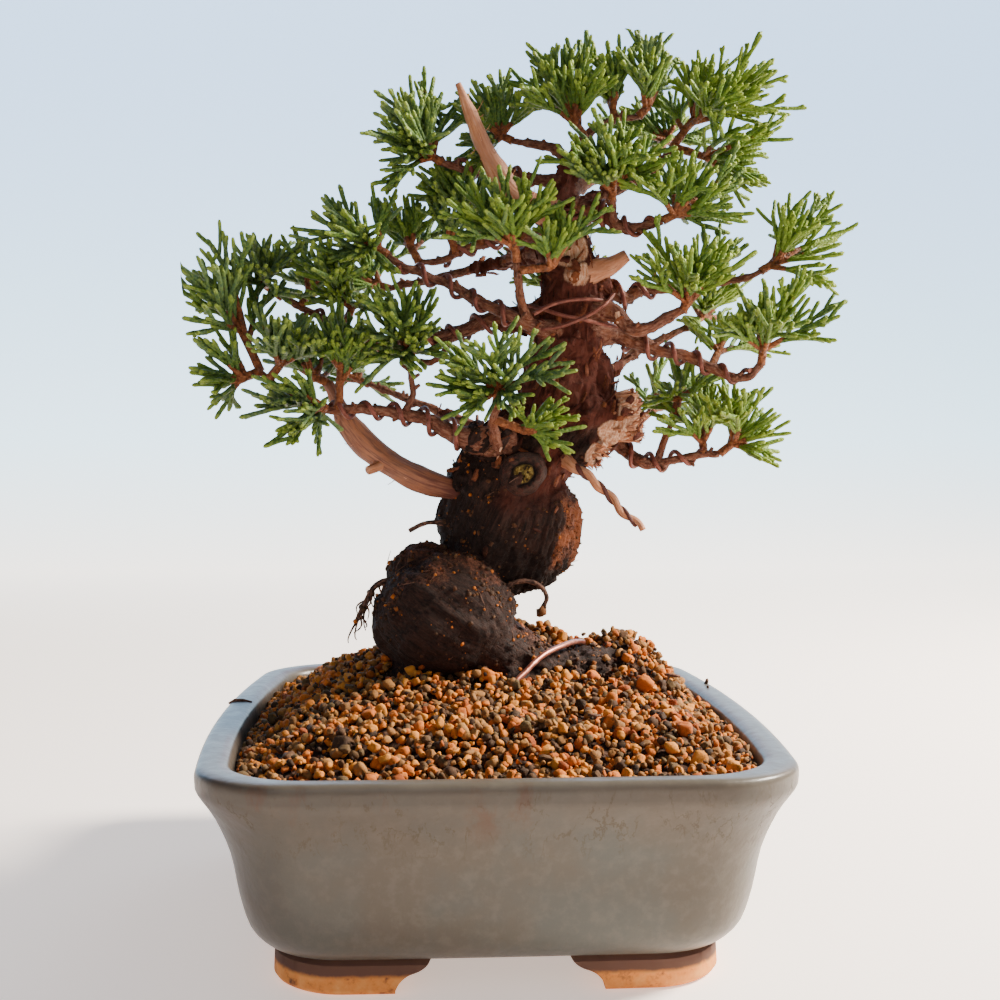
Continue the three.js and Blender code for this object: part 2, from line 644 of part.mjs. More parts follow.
function coilClearance(points, limb) {
  const others = rods.filter((rod) => rod.owner !== "root");
  const steps = points.slice(1).map((b, i) => ({ a: points[i], b, ra: WIRE_RADIUS, rb: WIRE_RADIUS }));
  return Math.min(...steps.map((step) => clearance(step, others, limb)));
}

// The starting angle, out of 24, that passes the forks with the most room.
function bestCoil(limb, line, wired) {
  let best = null;
  for (let i = 0; i < 24; i++) {
    const points = coil(line, wired, (2 * Math.PI * i) / 24);
    const room = coilClearance(points, limb);
    if (!best || room > best.room) best = { room, points };
  }
  return best.points;
}

// The wire that holds the tree down: out of the soil, over the ridge root and back in.
const TIE_WIRE = [
  [3.5, -27, 46],
  [4, -26, 56],
  [8.5, -21.5, 60.5],
  [13, -16.5, 63.5],
  [18, -11, 65],
  [22, -5, 66],
  [25.5, 3, 64.5],
  [28, 10, 60],
  [29, 14, 50],
];

function makeWires() {
  const made = [];
  for (const [limb, { line, wired }] of Object.entries(LIMBS)) {
    if (wired) made.push(makeWire("wire_" + limb, bestCoil(limb, line, wired)));
  }
  made.push(makeWire("tie_wire", TIE_WIRE.map(([x, y, z]) => v(x, y, z))));
  return made;
}

// ---------------------------------------------------------------- foliage

// Each spray: its heart, where its shoots part, and the tips that the shoots reach.
const SPRAYS = {
  left_tip: [[-59, -12, 140], [
    [-65, -13, 159], [-67, -18, 150], [-56, 0, 150], [-66, -22, 140],
    [-64, 0, 148],
  ]],
  left_low_tip: [[-59, -15, 127], [[-65, -20, 134], [-61, -12, 136], [-64, -18, 125], [-62, -12, 122]]],
  left_heart: [[-49, -14, 131], [[-52, -18, 139], [-45, -14, 139], [-48, -30, 136], [-40, -24, 133]]],
  left_back_heart: [[-43, 0, 129], [[-47, 4, 140], [-39, 12, 139], [-53, 18, 133], [-36, 20, 132]]],
  left_skirt: [[-39, -17, 121], [
    [-48, -26, 125], [-51, -22, 120], [-47, -22, 112], [-40, -16, 115],
    [-43, -30, 116],
  ]],
  left_riser: [[-35, -14, 130], [[-36, -14, 143], [-40, -20, 135], [-28, -20, 135], [-33, -4, 141]]],
  mid_left_tip: [[-55, 4, 152], [
    [-58, 4, 159], [-50, -2, 158], [-60, -6, 152], [-50, 16, 160],
    [-50, -14, 147],
  ]],
  mid_left_heart: [[-44, 8, 151], [[-46, 10, 161], [-39, 14, 160], [-49, 24, 155], [-36, 18, 151]]],
  mid_left_reach: [[-33, 0, 146], [[-44, -6, 156], [-39, -10, 148], [-30, -10, 145], [-37, -20, 151]]],
  mid_left_tuft: [[-19, -12, 135], [
    [-26, -16, 144], [-20, -14, 146], [-14, -14, 144], [-29, -20, 137],
    [-27, -18, 129], [-21, -28, 140], [-14, -22, 133],
  ]],
  high_left_tip: [[-28, -8, 160], [
    [-41, -10, 163], [-37, -8, 168], [-38, -12, 156], [-25, -4, 169],
    [-33, -20, 160], [-26, -14, 154],
  ]],
  high_left_back: [[-19, 8, 163], [[-24, 8, 168], [-17, 6, 170], [-23, 20, 165], [-13, 20, 167]]],
  mid_spikes: [[-9, 4, 165], [[-13, 6, 171], [-6, -2, 169], [-3, 16, 166]]],
  jin_side: [[-3, 6, 171], [[-15, 2, 175], [-11, 4, 179], [-3, 10, 180], [-10, 18, 175]]],
  front_crown: [[6, -18, 159], [
    [-7, -22, 167], [9, -22, 173], [14, -21, 168], [-7, -26, 160],
    [-1, -20, 173], [4, -32, 165],
  ]],
  front_fingers: [[15, -16, 154], [[17, -17, 164], [24, -18, 166], [12, -24, 160]]],
  front_tuft: [[2, -21, 125], [
    [-9, -26, 132], [10, -27, 135], [14, -27, 128], [-10, -27, 124],
    [1, -34, 133], [-7, -26, 117], [6, -31, 121],
  ]],
  low_spray: [[9, -18, 115], [[16, -22, 119], [16, -20, 112], [10, -27, 117]]],
  high_left_pad: [[-14, -2, 183], [
    [-26, -8, 186], [-22, -4, 195], [-14, 4, 198], [-22, -8, 176],
    [-9, 10, 196], [-19, -18, 185],
  ]],
  crown_left_pad: [[4, 6, 190], [
    [-1, 6, 199], [5, 10, 201], [-7, 10, 195], [12, 0, 196],
    [-1, 0, 182], [5, 22, 198],
  ]],
  crown_a: [[22, 0, 192], [[16, 0, 207], [9, -6, 196], [24, 4, 210], [12, 12, 206], [27, -8, 198]]],
  crown_b: [[32, 3, 196], [[34, 2, 209], [30, 8, 209], [30, 16, 204]]],
  crown_c: [[41, 3, 197], [[41, 2, 212], [36, -6, 204], [48, 14, 207]]],
  front_high_tuft: [[30, -12, 174], [
    [24, -16, 185], [33, -17, 185], [17, -18, 179], [40, -20, 179],
    [22, -24, 173], [27, -32, 178],
  ]],
  right_high_pad: [[46, -10, 168], [
    [58, -12, 167], [49, -14, 176], [61, -6, 177], [51, 4, 182],
    [55, -2, 166], [37, -22, 172],
  ]],
  crown_right_pad: [[54, 10, 196], [
    [51, 8, 206], [61, 6, 209], [72, 6, 207], [76, 6, 198],
    [46, 16, 202], [71, 24, 207], [57, -10, 196],
  ]],
  crown_right_skirt: [[56, 5, 185], [
    [72, 2, 189], [67, 0, 179], [59, -10, 187], [66, 10, 176],
    [64, 22, 184],
  ]],
  right_mid_pad: [[49, -11, 147], [
    [41, -13, 160], [51, -16, 158], [62, -12, 156], [36, -18, 150],
    [59, -2, 161], [45, -30, 151],
  ]],
  right_tip: [[73, 2, 158], [
    [88, 4, 172], [76, 2, 170], [78, -4, 165], [91, 8, 165],
    [83, -6, 152], [85, 18, 168],
  ]],
  right_low_pad: [[68, -7, 136], [
    [64, -11, 146], [75, -12, 149], [83, -11, 142], [56, -14, 139],
    [77, 8, 146], [65, -26, 141],
  ]],
  right_inner: [[59, 2, 136], [[65, 6, 142], [54, 6, 141], [71, 12, 137]]],
  right_base_pad: [[64, 5, 113], [
    [73, 4, 115], [70, 6, 124], [63, 8, 124], [70, 2, 109],
    [61, -10, 119], [69, 20, 118],
  ]],
  right_base_riser: [[50, 8, 125], [[50, 8, 132], [56, 4, 128], [43, 2, 123], [56, 22, 128]]],
  right_base_heart: [[56, 8, 115], [[57, 8, 123], [58, -6, 121], [47, 0, 117], [62, 24, 119]]],
  back_right_pad: [[64, 42, 149], [
    [73, 40, 156], [65, 36, 160], [59, 54, 158], [77, 56, 148],
    [59, 32, 143],
  ]],
  back_left_pad: [[-29, 40, 157], [
    [-40, 38, 162], [-32, 44, 168], [-40, 48, 153], [-24, 54, 167],
    [-32, 32, 150],
  ]],
  back_high_pad: [[52, 38, 197], [
    [58, 36, 207], [44, 44, 206], [65, 48, 200], [51, 58, 199],
    [37, 34, 197],
  ]],
  back_low_pad: [[-34, 46, 131], [
    [-44, 44, 134], [-39, 52, 141], [-29, 54, 141], [-43, 58, 128],
    [-27, 60, 127],
  ]],
  back_mid_pad: [[22, 44, 157], [
    [12, 42, 166], [23, 46, 171], [33, 46, 164], [16, 60, 160],
    [31, 62, 159],
  ]],
  back_base_pad: [[51, 38, 124], [[61, 36, 129], [50, 38, 134], [62, 50, 122], [50, 56, 126]]],
};

// Where a spray's stem starts: GAP off the wood or wire near the spray's heart, where it has room.
function perch(heart, carriers) {
  let best = null;
  for (const rod of rods) {
    if (!rod.woody || rod.owner === "root") continue;
    for (let t = 0; t <= 1; t += 0.2) {
      const radius = rod.ra + (rod.rb - rod.ra) * t;
      const host = rod.a.clone().lerp(rod.b, t);
      const away = heart.clone().sub(host).normalize();
      const root = host.addScaledVector(away, radius + GAP + 0.15);
      const off = root.distanceTo(heart);
      if (off < 1.2 || (best && off > best.off)) continue;
      const start = root.clone().addScaledVector(away, STEM_RADIUS);
      const stem = { a: start, b: heart, ra: STEM_RADIUS, rb: STEM_RADIUS };
      if (clearance(stem, rods, null) > GAP) best = { off, root, away, stem };
    }
  }
  const { root, away, stem } = best;
  const probeEnd = (p) => [p.x, p.y, p.z, STEM_RADIUS];
  for (let step = 0; step < SEATING_STEPS; step++) {
    const probe = solid(tube([probeEnd(heart), probeEnd(root)], 6));
    root.addScaledVector(away, GAP - carriers.minGap(probe, 2 * STEM_RADIUS + GAP));
  }
  return { root, stem };
}

// A closed surface that is grown face by face, out of a hub. Faces are triples of point numbers.
class Growth {
  constructor(hub) {
    const bare = hub.clone();
    bare.deleteAttribute("normal");
    bare.deleteAttribute("uv");
    const merged = mergeVertices(bare, 1e-4);
    this.points = [];
    const positions = merged.getAttribute("position");
    for (let i = 0; i < positions.count; i++) this.points.push(v(0, 0, 0).fromBufferAttribute(positions, i));
    this.hubSize = positions.count;
    const index = Array.from(merged.getIndex().array);
    this.faces = [];
    for (let i = 0; i < index.length; i += 3) this.faces.push(index.slice(i, i + 3));
  }

  corners(face) {
    return face.map((i) => this.points[i]);
  }

  // The faces still bare on the hub, the one that looks most in a direction first.
  hubFaces(direction) {
    const facing = (face) => normalOf(this.corners(face)).dot(direction);
    const bare = this.faces.filter((face) => face.every((i) => i < this.hubSize));
    return bare.sort((a, b) => facing(b) - facing(a));
  }

  // Adds a regular ring of three round a point, turned so that it follows the one before it.
  addRing(before, centre, along, radius) {
    const root = middle(this.corners(before));
    const side = this.points[before[0]].clone().sub(root);
    side.addScaledVector(along, -side.dot(along)).normalize();
    const other = along.clone().cross(side);
    let phase = 0;
    this.corners(before).forEach((corner, n) => {
      const spoke = corner.clone().sub(root);
      const turn = Math.atan2(spoke.dot(other), spoke.dot(side));
      phase += (turn < -0.1 ? turn + 2 * Math.PI : turn) / 3 - (2 * Math.PI * n) / 9;
    });
    return before.map((_, n) => {
      const turn = phase + (2 * Math.PI * n) / 3;
      const corner = centre.clone().addScaledVector(side, radius * Math.cos(turn));
      return this.points.push(corner.addScaledVector(other, radius * Math.sin(turn))) - 1;
    });
  }

  // Puts new faces in place of an old one, unless they would cut through the surface.
  replace(face, fresh) {
    const rest = this.faces.filter((other) => other !== face);
    const clear = fresh.every((one) => rest.every((other) => !this.facesMeet(one, other)));
    if (clear) this.faces = rest.concat(fresh);
    return clear;
  }

  facesMeet(one, other) {
    const [mine, theirs] = [this.corners(one), this.corners(other)];
    const reach = (corners, centre) => Math.max(...corners.map((p) => p.distanceTo(centre)));
    const [here, there] = [middle(mine), middle(theirs)];
    if (here.distanceTo(there) > reach(mine, here) + reach(theirs, there)) return false;
    if (one.filter((i) => other.includes(i)).length > 1) return this.folded(one, other);
    const cuts = (edges, triangle) => edges.some((start, n) => pierce(start, edges[(n + 1) % 3], triangle));
    return cuts(mine, theirs) || cuts(theirs, mine);
  }

  // Whether two faces that share an edge lie nearly flat on each other.
  folded(one, other) {
    const [mine, theirs] = [one, other].map((face) => normalOf(this.corners(face)));
    return mine.dot(theirs) < -0.97;
  }

  geometry() {
    const geometry = new THREE.BufferGeometry();
    const positions = this.points.flatMap((p) => p.toArray());
    geometry.setAttribute("position", new THREE.Float32BufferAttribute(positions, 3));
    geometry.setIndex(this.faces.flat());
    return geometry;
  }
}

function normalOf([a, b, c]) {
  return b.clone().sub(a).cross(c.clone().sub(a)).normalize();
}

// Whether the straight line between two points passes through a triangle.
function pierce(start, end, [a, b, c]) {
  const line = end.clone().sub(start);
  const [ab, ac] = [b.clone().sub(a), c.clone().sub(a)];
  const across = line.clone().cross(ac);
  const volume = ab.dot(across);
  if (Math.abs(volume) < 1e-12) return false;
  const from = start.clone().sub(a);
  const u = from.dot(across) / volume;
  const turned = from.cross(ab);
  const w = line.dot(turned) / volume;
  const t = ac.dot(turned) / volume;
  return u > 0 && w > 0 && u + w < 1 && t > 1e-4 && t < 1 - 1e-4;
}

// Points of a shoot from the heart of its spray to its tip, bent up a little.
function shootPoints(heart, tip) {
  const reach = tip.distanceTo(heart);
  const bend = heart.clone().lerp(tip, 0.5);
  bend.z += 0.12 * reach;
  const steps = Math.max(3, Math.round(reach / SHOOT_STEP));
  return new THREE.QuadraticBezierCurve3(heart, bend, tip).getPoints(steps);
}

// Triangles between two rings, and the upper one of each pair, where a side shoot can grow.
function wallBetween(ring, next) {
  const lower = ring.map((a, j) => [a, ring[(j + 1) % 3], next[(j + 1) % 3]]);
  const upper = ring.map((a, j) => [a, next[(j + 1) % 3], next[j]]);
  return { lower, upper };
}

// Grows a shoot out of a hub's face: a three-sided stem with a cone at its tip. Returns its buds.
function growShoot(growth, base, points) {
  const last = points.length - 1;
  const frames = framesAlong(points);
  const buds = [];
  const fresh = [];
  let ring = base;
  for (let i = 1; i < last; i++) {
    const next = growth.addRing(ring, points[i], frames[i].along, SHOOT_RADIUS);
    const { lower, upper } = wallBetween(ring, next);
    fresh.push(...lower, ...upper);
    for (const face of upper) buds.push({ face, along: frames[i].along, howFar: i / last });
    ring = next;
  }
  const tip = growth.points.push(points[last]) - 1;
  ring.forEach((corner, j) => fresh.push([corner, ring[(j + 1) % 3], tip]));
  return growth.replace(base, fresh) ? buds : null;
}

// Grows one straight, flat-ended rod out of a face.
function growBranch(growth, face, { b, heading, rb }, around = []) {
  const base = around.length ? around[0] : face;
  const end = growth.addRing(base, b, heading, rb);
  const { lower, upper } = wallBetween(base, end);
  return growth.replace(face, [...around.slice(1), ...lower, ...upper, end]);
}

// Splits a bud's face, so that the side shoot grows out of a small triangle at its upper end.
function budBase(growth, [a, c, d]) {
  const [low, left, right] = growth.corners([a, c, d]);
  const top = left.clone().lerp(right, 0.5);
  const drop = Math.min(0.7, BUD_LENGTH / top.distanceTo(low));
  const e = growth.points.push(top.lerp(low, drop)) - 1;
  return [[c, d, e], [a, c, e], [d, a, e]];
}

// The rod of a side shoot on a triangle of its shoot's surface.
function fingerOn(corners, along, seed, howFar) {
  const a = middle(corners);
  const outward = normalOf(corners);
  outward.addScaledVector(along, -outward.dot(along)).normalize();
  const lean = FINGER_LEAN + 0.3 * (draw(seed, 2) - 0.5);
  const heading = along.clone().multiplyScalar(Math.cos(lean)).addScaledVector(outward, Math.sin(lean));
  heading.z += FINGER_RISE;
  heading.addScaledVector(outward, Math.max(0, Math.sin(FINGER_LEAN) - heading.dot(outward)));
  heading.normalize();
  const long = FINGER_LENGTH * (1.1 - 0.4 * howFar) * (0.8 + 0.4 * draw(seed, 3));
  return { a, b: a.clone().addScaledVector(heading, long), heading, ra: FINGER_RADIUS, rb: FINGER_TIP };
}

// Grows a shoot to a tip, or close to it where that way is barred, and notes the rods it takes.
function reachTip(growth, heart, tip, seed, owner, taken) {
  for (let attempt = 0; attempt < SHOOT_TRIES; attempt++) {
    const stray = [50, 70, 90].map((channel) => 1.2 * attempt * (draw(seed, attempt + channel) - 0.5));
    const points = shootPoints(heart, v(...tip).add(v(...stray)));
    const radii = { ra: SHOOT_RADIUS, rb: SHOOT_RADIUS };
    const stem = points.slice(1).map((b, i) => ({ a: points[i], b, ...radii, owner }));
    if (Math.min(...stem.map((rod) => clearance(rod, rods, owner))) < GAP) continue;
    for (const face of growth.hubFaces(points[1].clone().sub(heart)).slice(0, 3)) {
      const buds = growShoot(growth, face, points);
      if (buds) {
        taken.push(...stem);
        return buds;
      }
    }
  }
  return [];
}

// Grows side shoots out of a shoot's buds: one round its first ring, two round each further one.
function growFingers(growth, buds, seed, owner, taken) {
  for (let i = 1; i <= buds.length / 3; i++) {
    let wanted = i === 1 ? 1 : 2;
    for (let n = 0; n < 3 && wanted > 0; n++) {
      const { face, along, howFar } = buds[3 * (i - 1) + ((i + n + seed) % 3)];
      const around = budBase(growth, face);
      const finger = fingerOn(growth.corners(around[0]), along, seed + 5 * i + n, howFar);
      if (clearance(finger, rods, owner) > GAP && growBranch(growth, face, finger, around)) {
        wanted--;
        taken.push({ ...finger, owner });
      }
    }
  }
}

function makeSpray(name, [heartPoint, tipPoints], order, carriers) {
  const owner = "spray_" + name;
  const heart = v(...heartPoint);
  const held = perch(heart, carriers);
  const hub = new THREE.IcosahedronGeometry(HUB_RADIUS, 0);
  hub.translate(heart.x, heart.y, heart.z);
  const growth = new Growth(hub);
  const down = held.root.clone().sub(heart).normalize();
  growBranch(growth, growth.hubFaces(down)[0], { b: held.root, heading: down, rb: STEM_RADIUS });
  const taken = [{ ...held.stem, owner }];
  tipPoints.forEach((tip, k) => {
    const seed = order * 7 + k;
    const buds = reachTip(growth, heart, tip, seed, owner, taken);
    growFingers(growth, buds, seed, owner, taken);
  });
  rods.push(...taken);
  return piece(owner, solid(growth.geometry()), leaf);
}

// ---------------------------------------------------------------- assembly

const bonsai = new THREE.Group();
const holder = new THREE.Group();
const tree = new THREE.Group();
bonsai.add(holder, tree);

holder.add(makePot(), ...makeFeet(), makeDrainNet(-1), makeDrainNet(1));
const woodShape = makeWood();
const wires = makeWires();
const carriers = wasm.Manifold.compose([woodShape, ...wires.map(({ shape }) => shape)]);
tree.add(piece("trunk_and_limbs", woodShape, wood));
for (const { name, shape } of wires) tree.add(piece(name, shape, copper));
holder.add(makeSoil());
Object.entries(SPRAYS).forEach(([name, spray], order) => tree.add(makeSpray(name, spray, order, carriers)));

const middleOfWhole = new THREE.Box3().setFromObject(bonsai, true).getCenter(v(0, 0, 0));
for (const group of [holder, tree]) group.position.set(-middleOfWhole.x, -middleOfWhole.y, 0);

export default bonsai;
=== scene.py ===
"""The looks of a wired juniper bonsai in a glazed pot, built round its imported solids.

Tables and lengths are in millimetres and are scaled to metres where a mesh is made. X is to the
right, Y to the back and Z up, from under the middle of the pot, on the plane of its feet.
"""

import math

import bmesh
import bpy
import numpy as np
from mathutils import Matrix, Vector


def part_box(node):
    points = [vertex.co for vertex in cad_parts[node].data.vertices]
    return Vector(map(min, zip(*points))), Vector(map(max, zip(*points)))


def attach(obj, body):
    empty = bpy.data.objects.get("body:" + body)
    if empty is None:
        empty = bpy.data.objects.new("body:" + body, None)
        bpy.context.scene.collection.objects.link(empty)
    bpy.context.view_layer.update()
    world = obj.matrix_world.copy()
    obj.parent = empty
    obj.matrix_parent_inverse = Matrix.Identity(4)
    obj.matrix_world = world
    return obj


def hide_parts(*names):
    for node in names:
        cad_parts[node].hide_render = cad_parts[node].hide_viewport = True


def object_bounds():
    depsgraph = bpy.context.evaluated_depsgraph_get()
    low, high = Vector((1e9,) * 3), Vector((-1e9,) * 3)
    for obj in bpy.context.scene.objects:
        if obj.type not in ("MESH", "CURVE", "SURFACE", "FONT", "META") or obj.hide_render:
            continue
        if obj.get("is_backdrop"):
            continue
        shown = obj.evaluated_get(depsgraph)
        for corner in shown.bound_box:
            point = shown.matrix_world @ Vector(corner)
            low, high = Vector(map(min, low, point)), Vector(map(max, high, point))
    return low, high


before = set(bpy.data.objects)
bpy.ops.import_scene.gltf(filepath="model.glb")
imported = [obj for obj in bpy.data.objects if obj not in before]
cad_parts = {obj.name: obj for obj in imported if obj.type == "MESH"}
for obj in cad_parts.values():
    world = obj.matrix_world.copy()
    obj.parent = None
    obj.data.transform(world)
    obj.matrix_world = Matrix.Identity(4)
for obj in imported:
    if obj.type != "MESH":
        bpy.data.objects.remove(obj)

bl_info = {
    "name": "Wired juniper bonsai",
    "version": (1, 0, 0),
    "blender": (4, 5, 0),
    "location": "3D View > Sidebar > Bonsai",
    "description": "Builds a juniper bonsai with its wires, soil and glazed pot",
    "category": "Object",
}

MM = 0.001

# ---------------------------------------------------------------- lines and sizes of the solids

# Burls: middle, half sizes and roughness. Lines are stations of (x, y, z, radius).
BURLS = (
    ((-10, -8, 72), (17, 15.5, 16), 0.06),
    ((-15, -3, 79.5), (9.5, 9, 8.5), 0.1),
    ((6, 6, 92), (17.5, 16.5, 17.5), 0.1),
)
TRUNK = (
    (3, 5, 96, 15), (7, 5, 104, 14.5), (12, 5, 111, 12.5), (18, 4.5, 118, 11.5),
        (20.5, 4, 126, 11.8), (20.5, 3, 133, 10), (20.5, 2, 139, 8.6), (20.5, 1.5, 147, 7.6),
        (21.5, 1, 155, 6.8), (20.5, 1, 163, 6), (18.5, 1, 170, 5.2), (19.5, 1, 177, 3.8),
        (21.5, 1, 183, 2.7),
)
TIE_WIRE = (
    (3.5, -27, 46), (4, -26, 56), (8.5, -21.5, 60.5), (13, -16.5, 63.5), (18, -11, 65),
        (22, -5, 66), (25.5, 3, 64.5), (28, 10, 60), (29, 14, 50),
)
# Heaps of soil: x, y, height, and reach along x and y.
HEAPS = (
    (-8, 4, 11, 36, 34), (38, 6, 10.5, 16, 13), (12, 8, 6, 10, 10),
)
ROOTS = (
    ((-6, -8, 66, 12), (4, -8, 60, 9.5), (16, -4, 54.5, 8), (30, 1, 53.5, 7.5),
        (42, 6, 50.5, 6.5), (51, 10, 45, 3.5)),
    ((-12, -8, 62, 9), (-23, -15, 50, 5), (-36, -22, 38, 2)),
    ((-8, -4, 62, 9), (-9, 12, 48, 6), (-14, 34, 36, 2.4)),
    ((2, -8, 60, 8), (8, -20, 46, 5), (14, -38, 34, 2)),
    ((18, -2, 54, 7), (24, 16, 43, 4.5), (30, 38, 32, 2)),
)
LIMBS = {
    "left_low": ((5, -3, 113, 5), (-2, -7, 113.5, 4), (-8.5, -8, 115, 3), (-14, -8, 118, 2.4),
        (-20, -8, 119.5, 2.1), (-27, -9, 120.5, 1.9), (-34.5, -10, 120.5, 1.7),
        (-40.5, -10, 121, 1.4), (-45, -11, 123, 1.3), (-50, -12, 126, 1.2), (-54, -12, 129.5, 1)),
    "left_low_riser": ((-20, -8, 119.5, 1.4), (-18, -9, 124.5, 1.2), (-18.5, -10, 128.5, 1.1),
        (-19, -11, 132, 1)),
    "left_mid": ((13.5, 1, 144, 4.2), (5, 2, 143.5, 3.2), (0, 2, 143, 2.6), (-6, 3, 140.5, 2.5),
        (-11.5, 4, 139, 2.4), (-16.5, 5, 139.5, 2.2), (-21.5, 6, 138, 2), (-29, 6, 138, 1.8),
        (-35.5, 6, 141, 1.6), (-41.5, 6, 144.5, 1.4), (-46.5, 6, 147, 1.2), (-50.5, 6, 149, 1)),
    "left_mid_drop": ((-9, 3, 138.5, 1.4), (-10.5, 0, 135, 1.2), (-13.5, -2, 132.5, 1.1),
        (-16.5, -3, 133, 1)),
    "left_high": ((17, -3, 140, 3.6), (11, -7, 141, 2.6), (6, -9, 143, 2.1),
        (0.5, -9, 145.5, 1.9), (-3.5, -8, 147.5, 1.8), (-7.5, -7, 150, 1.7), (-12, -7, 152, 1.5),
        (-17, -7, 154, 1.4), (-20.5, -7, 155.5, 1.3), (-24, -7, 158, 1.1)),
    "left_back": ((15, 4, 164.5, 3), (8, 6, 164.5, 1.8), (1, 8, 163.5, 1.6), (-4, 8, 162, 1.5),
        (-8.5, 8, 160, 1.4), (-12.5, 8, 158.5, 1.3), (-16.5, 8, 158.5, 1.1)),
    "front_riser": ((10.5, -7, 141.5, 1.8), (8, -12, 146, 1.6), (7, -16, 150.5, 1.4),
        (6.5, -17, 155, 1.2)),
    "front_low": ((2.5, -7, 111, 2.4), (1, -15, 117, 1.6), (1.5, -19, 121, 1.3)),
    "high_left": ((19, 1, 177.5, 3), (13.5, 3, 178.5, 2), (7.5, 4.5, 180, 1.7),
        (1, 4.5, 181, 1.5), (-5, 3, 181, 1.5), (-11, 0, 182, 1.2)),
    "crown_left": ((21.5, 2, 183, 2.4), (17.5, 3, 186, 1.8), (12.5, 4, 187.5, 1.5),
        (7, 5, 188.5, 1.2)),
    "crown": ((21.5, 1, 183, 2.6), (24, 1, 187.5, 2), (27.5, 2, 191, 1.5), (31.5, 2, 193, 1.2),
        (38.5, 3, 194.5, 1)),
    "crown_right": ((22, 3, 170, 4), (30.5, 6, 175.5, 2.4), (37.5, 8, 179, 2),
        (44.5, 9, 183.5, 1.7), (48.5, 10, 188.5, 1.3)),
    "right_high": ((22.5, -1, 170, 4.2), (28.5, -4, 169, 2.6), (32, -6, 165.5, 2.2),
        (37, -8, 165, 1.7), (42.5, -9, 166.5, 1.4)),
    "right_high_riser": ((31.5, -6, 166, 1.6), (30.5, -8, 169, 1.4), (30, -10, 171.5, 1.1)),
    "right_mid_back": ((22.5, 2, 151, 5), (30.5, 4, 151, 3.2), (35.5, 5, 149.5, 2.4),
        (40.5, 6, 151.5, 1.8), (54, 4, 152.5, 1.4), (64.5, 2, 154, 1.2), (69.5, 2, 156, 1)),
    "right_mid": ((23, -1, 146, 5), (31, -5, 144.5, 3), (35.5, -7, 140.5, 2.5),
        (40, -9, 141, 2.2), (44, -10, 143, 1.8), (47.5, -10, 145, 1.4)),
    "right_low_mid": ((23, 1, 140.5, 5.5), (32.5, 1, 139.5, 2.9), (38.5, 0, 137.5, 2.5),
        (43.5, -1, 135.5, 2.1), (49.5, -2, 134.5, 1.9), (54.5, -3, 132, 1.8),
        (60, -4, 129.5, 1.6), (65, -5, 129, 1.4), (68, -5, 132, 1.2)),
    "right_low": ((25, 5, 115.5, 5), (32.5, 8, 113.5, 2.6), (36, 9, 111, 2.3),
        (39.5, 8, 108.5, 2.1), (43.5, 8, 107.5, 1.9), (48, 7, 108.5, 1.7), (54.5, 6, 109.5, 1.4),
        (60, 5, 110, 1.1)),
    "right_low_riser": ((44.5, 8, 108, 1.5), (46.5, 8, 114, 1.2), (49, 8, 120, 1)),
    "back_right": ((21.5, 6, 123.5, 6), (31.5, 24, 130, 2.4), (44, 34, 138.5, 1.8),
        (59, 40, 146, 1.3)),
    "back_left": ((19, 4, 161, 4.5), (5, 24, 161, 2.2), (-11, 34, 158, 1.7),
        (-24.5, 38, 155.5, 1.2)),
    "back_high": ((19.5, 3, 175, 3.2), (31, 18, 183, 2), (43, 28, 189.5, 1.5),
        (49.5, 34, 193.5, 1.2)),
    "back_mid": ((20.5, 4, 141, 5), (24, 22, 146, 2.2), (21.5, 39, 150, 1.3)),
    "back_base": ((18, 8, 113, 6), (32, 20, 114, 2.4), (44, 33, 119, 1.4)),
    "back_low": ((9.5, 12, 109, 5), (-3, 30, 118, 2.2), (-19, 40, 125, 1.5),
        (-30.5, 44, 129.5, 1.1)),
}
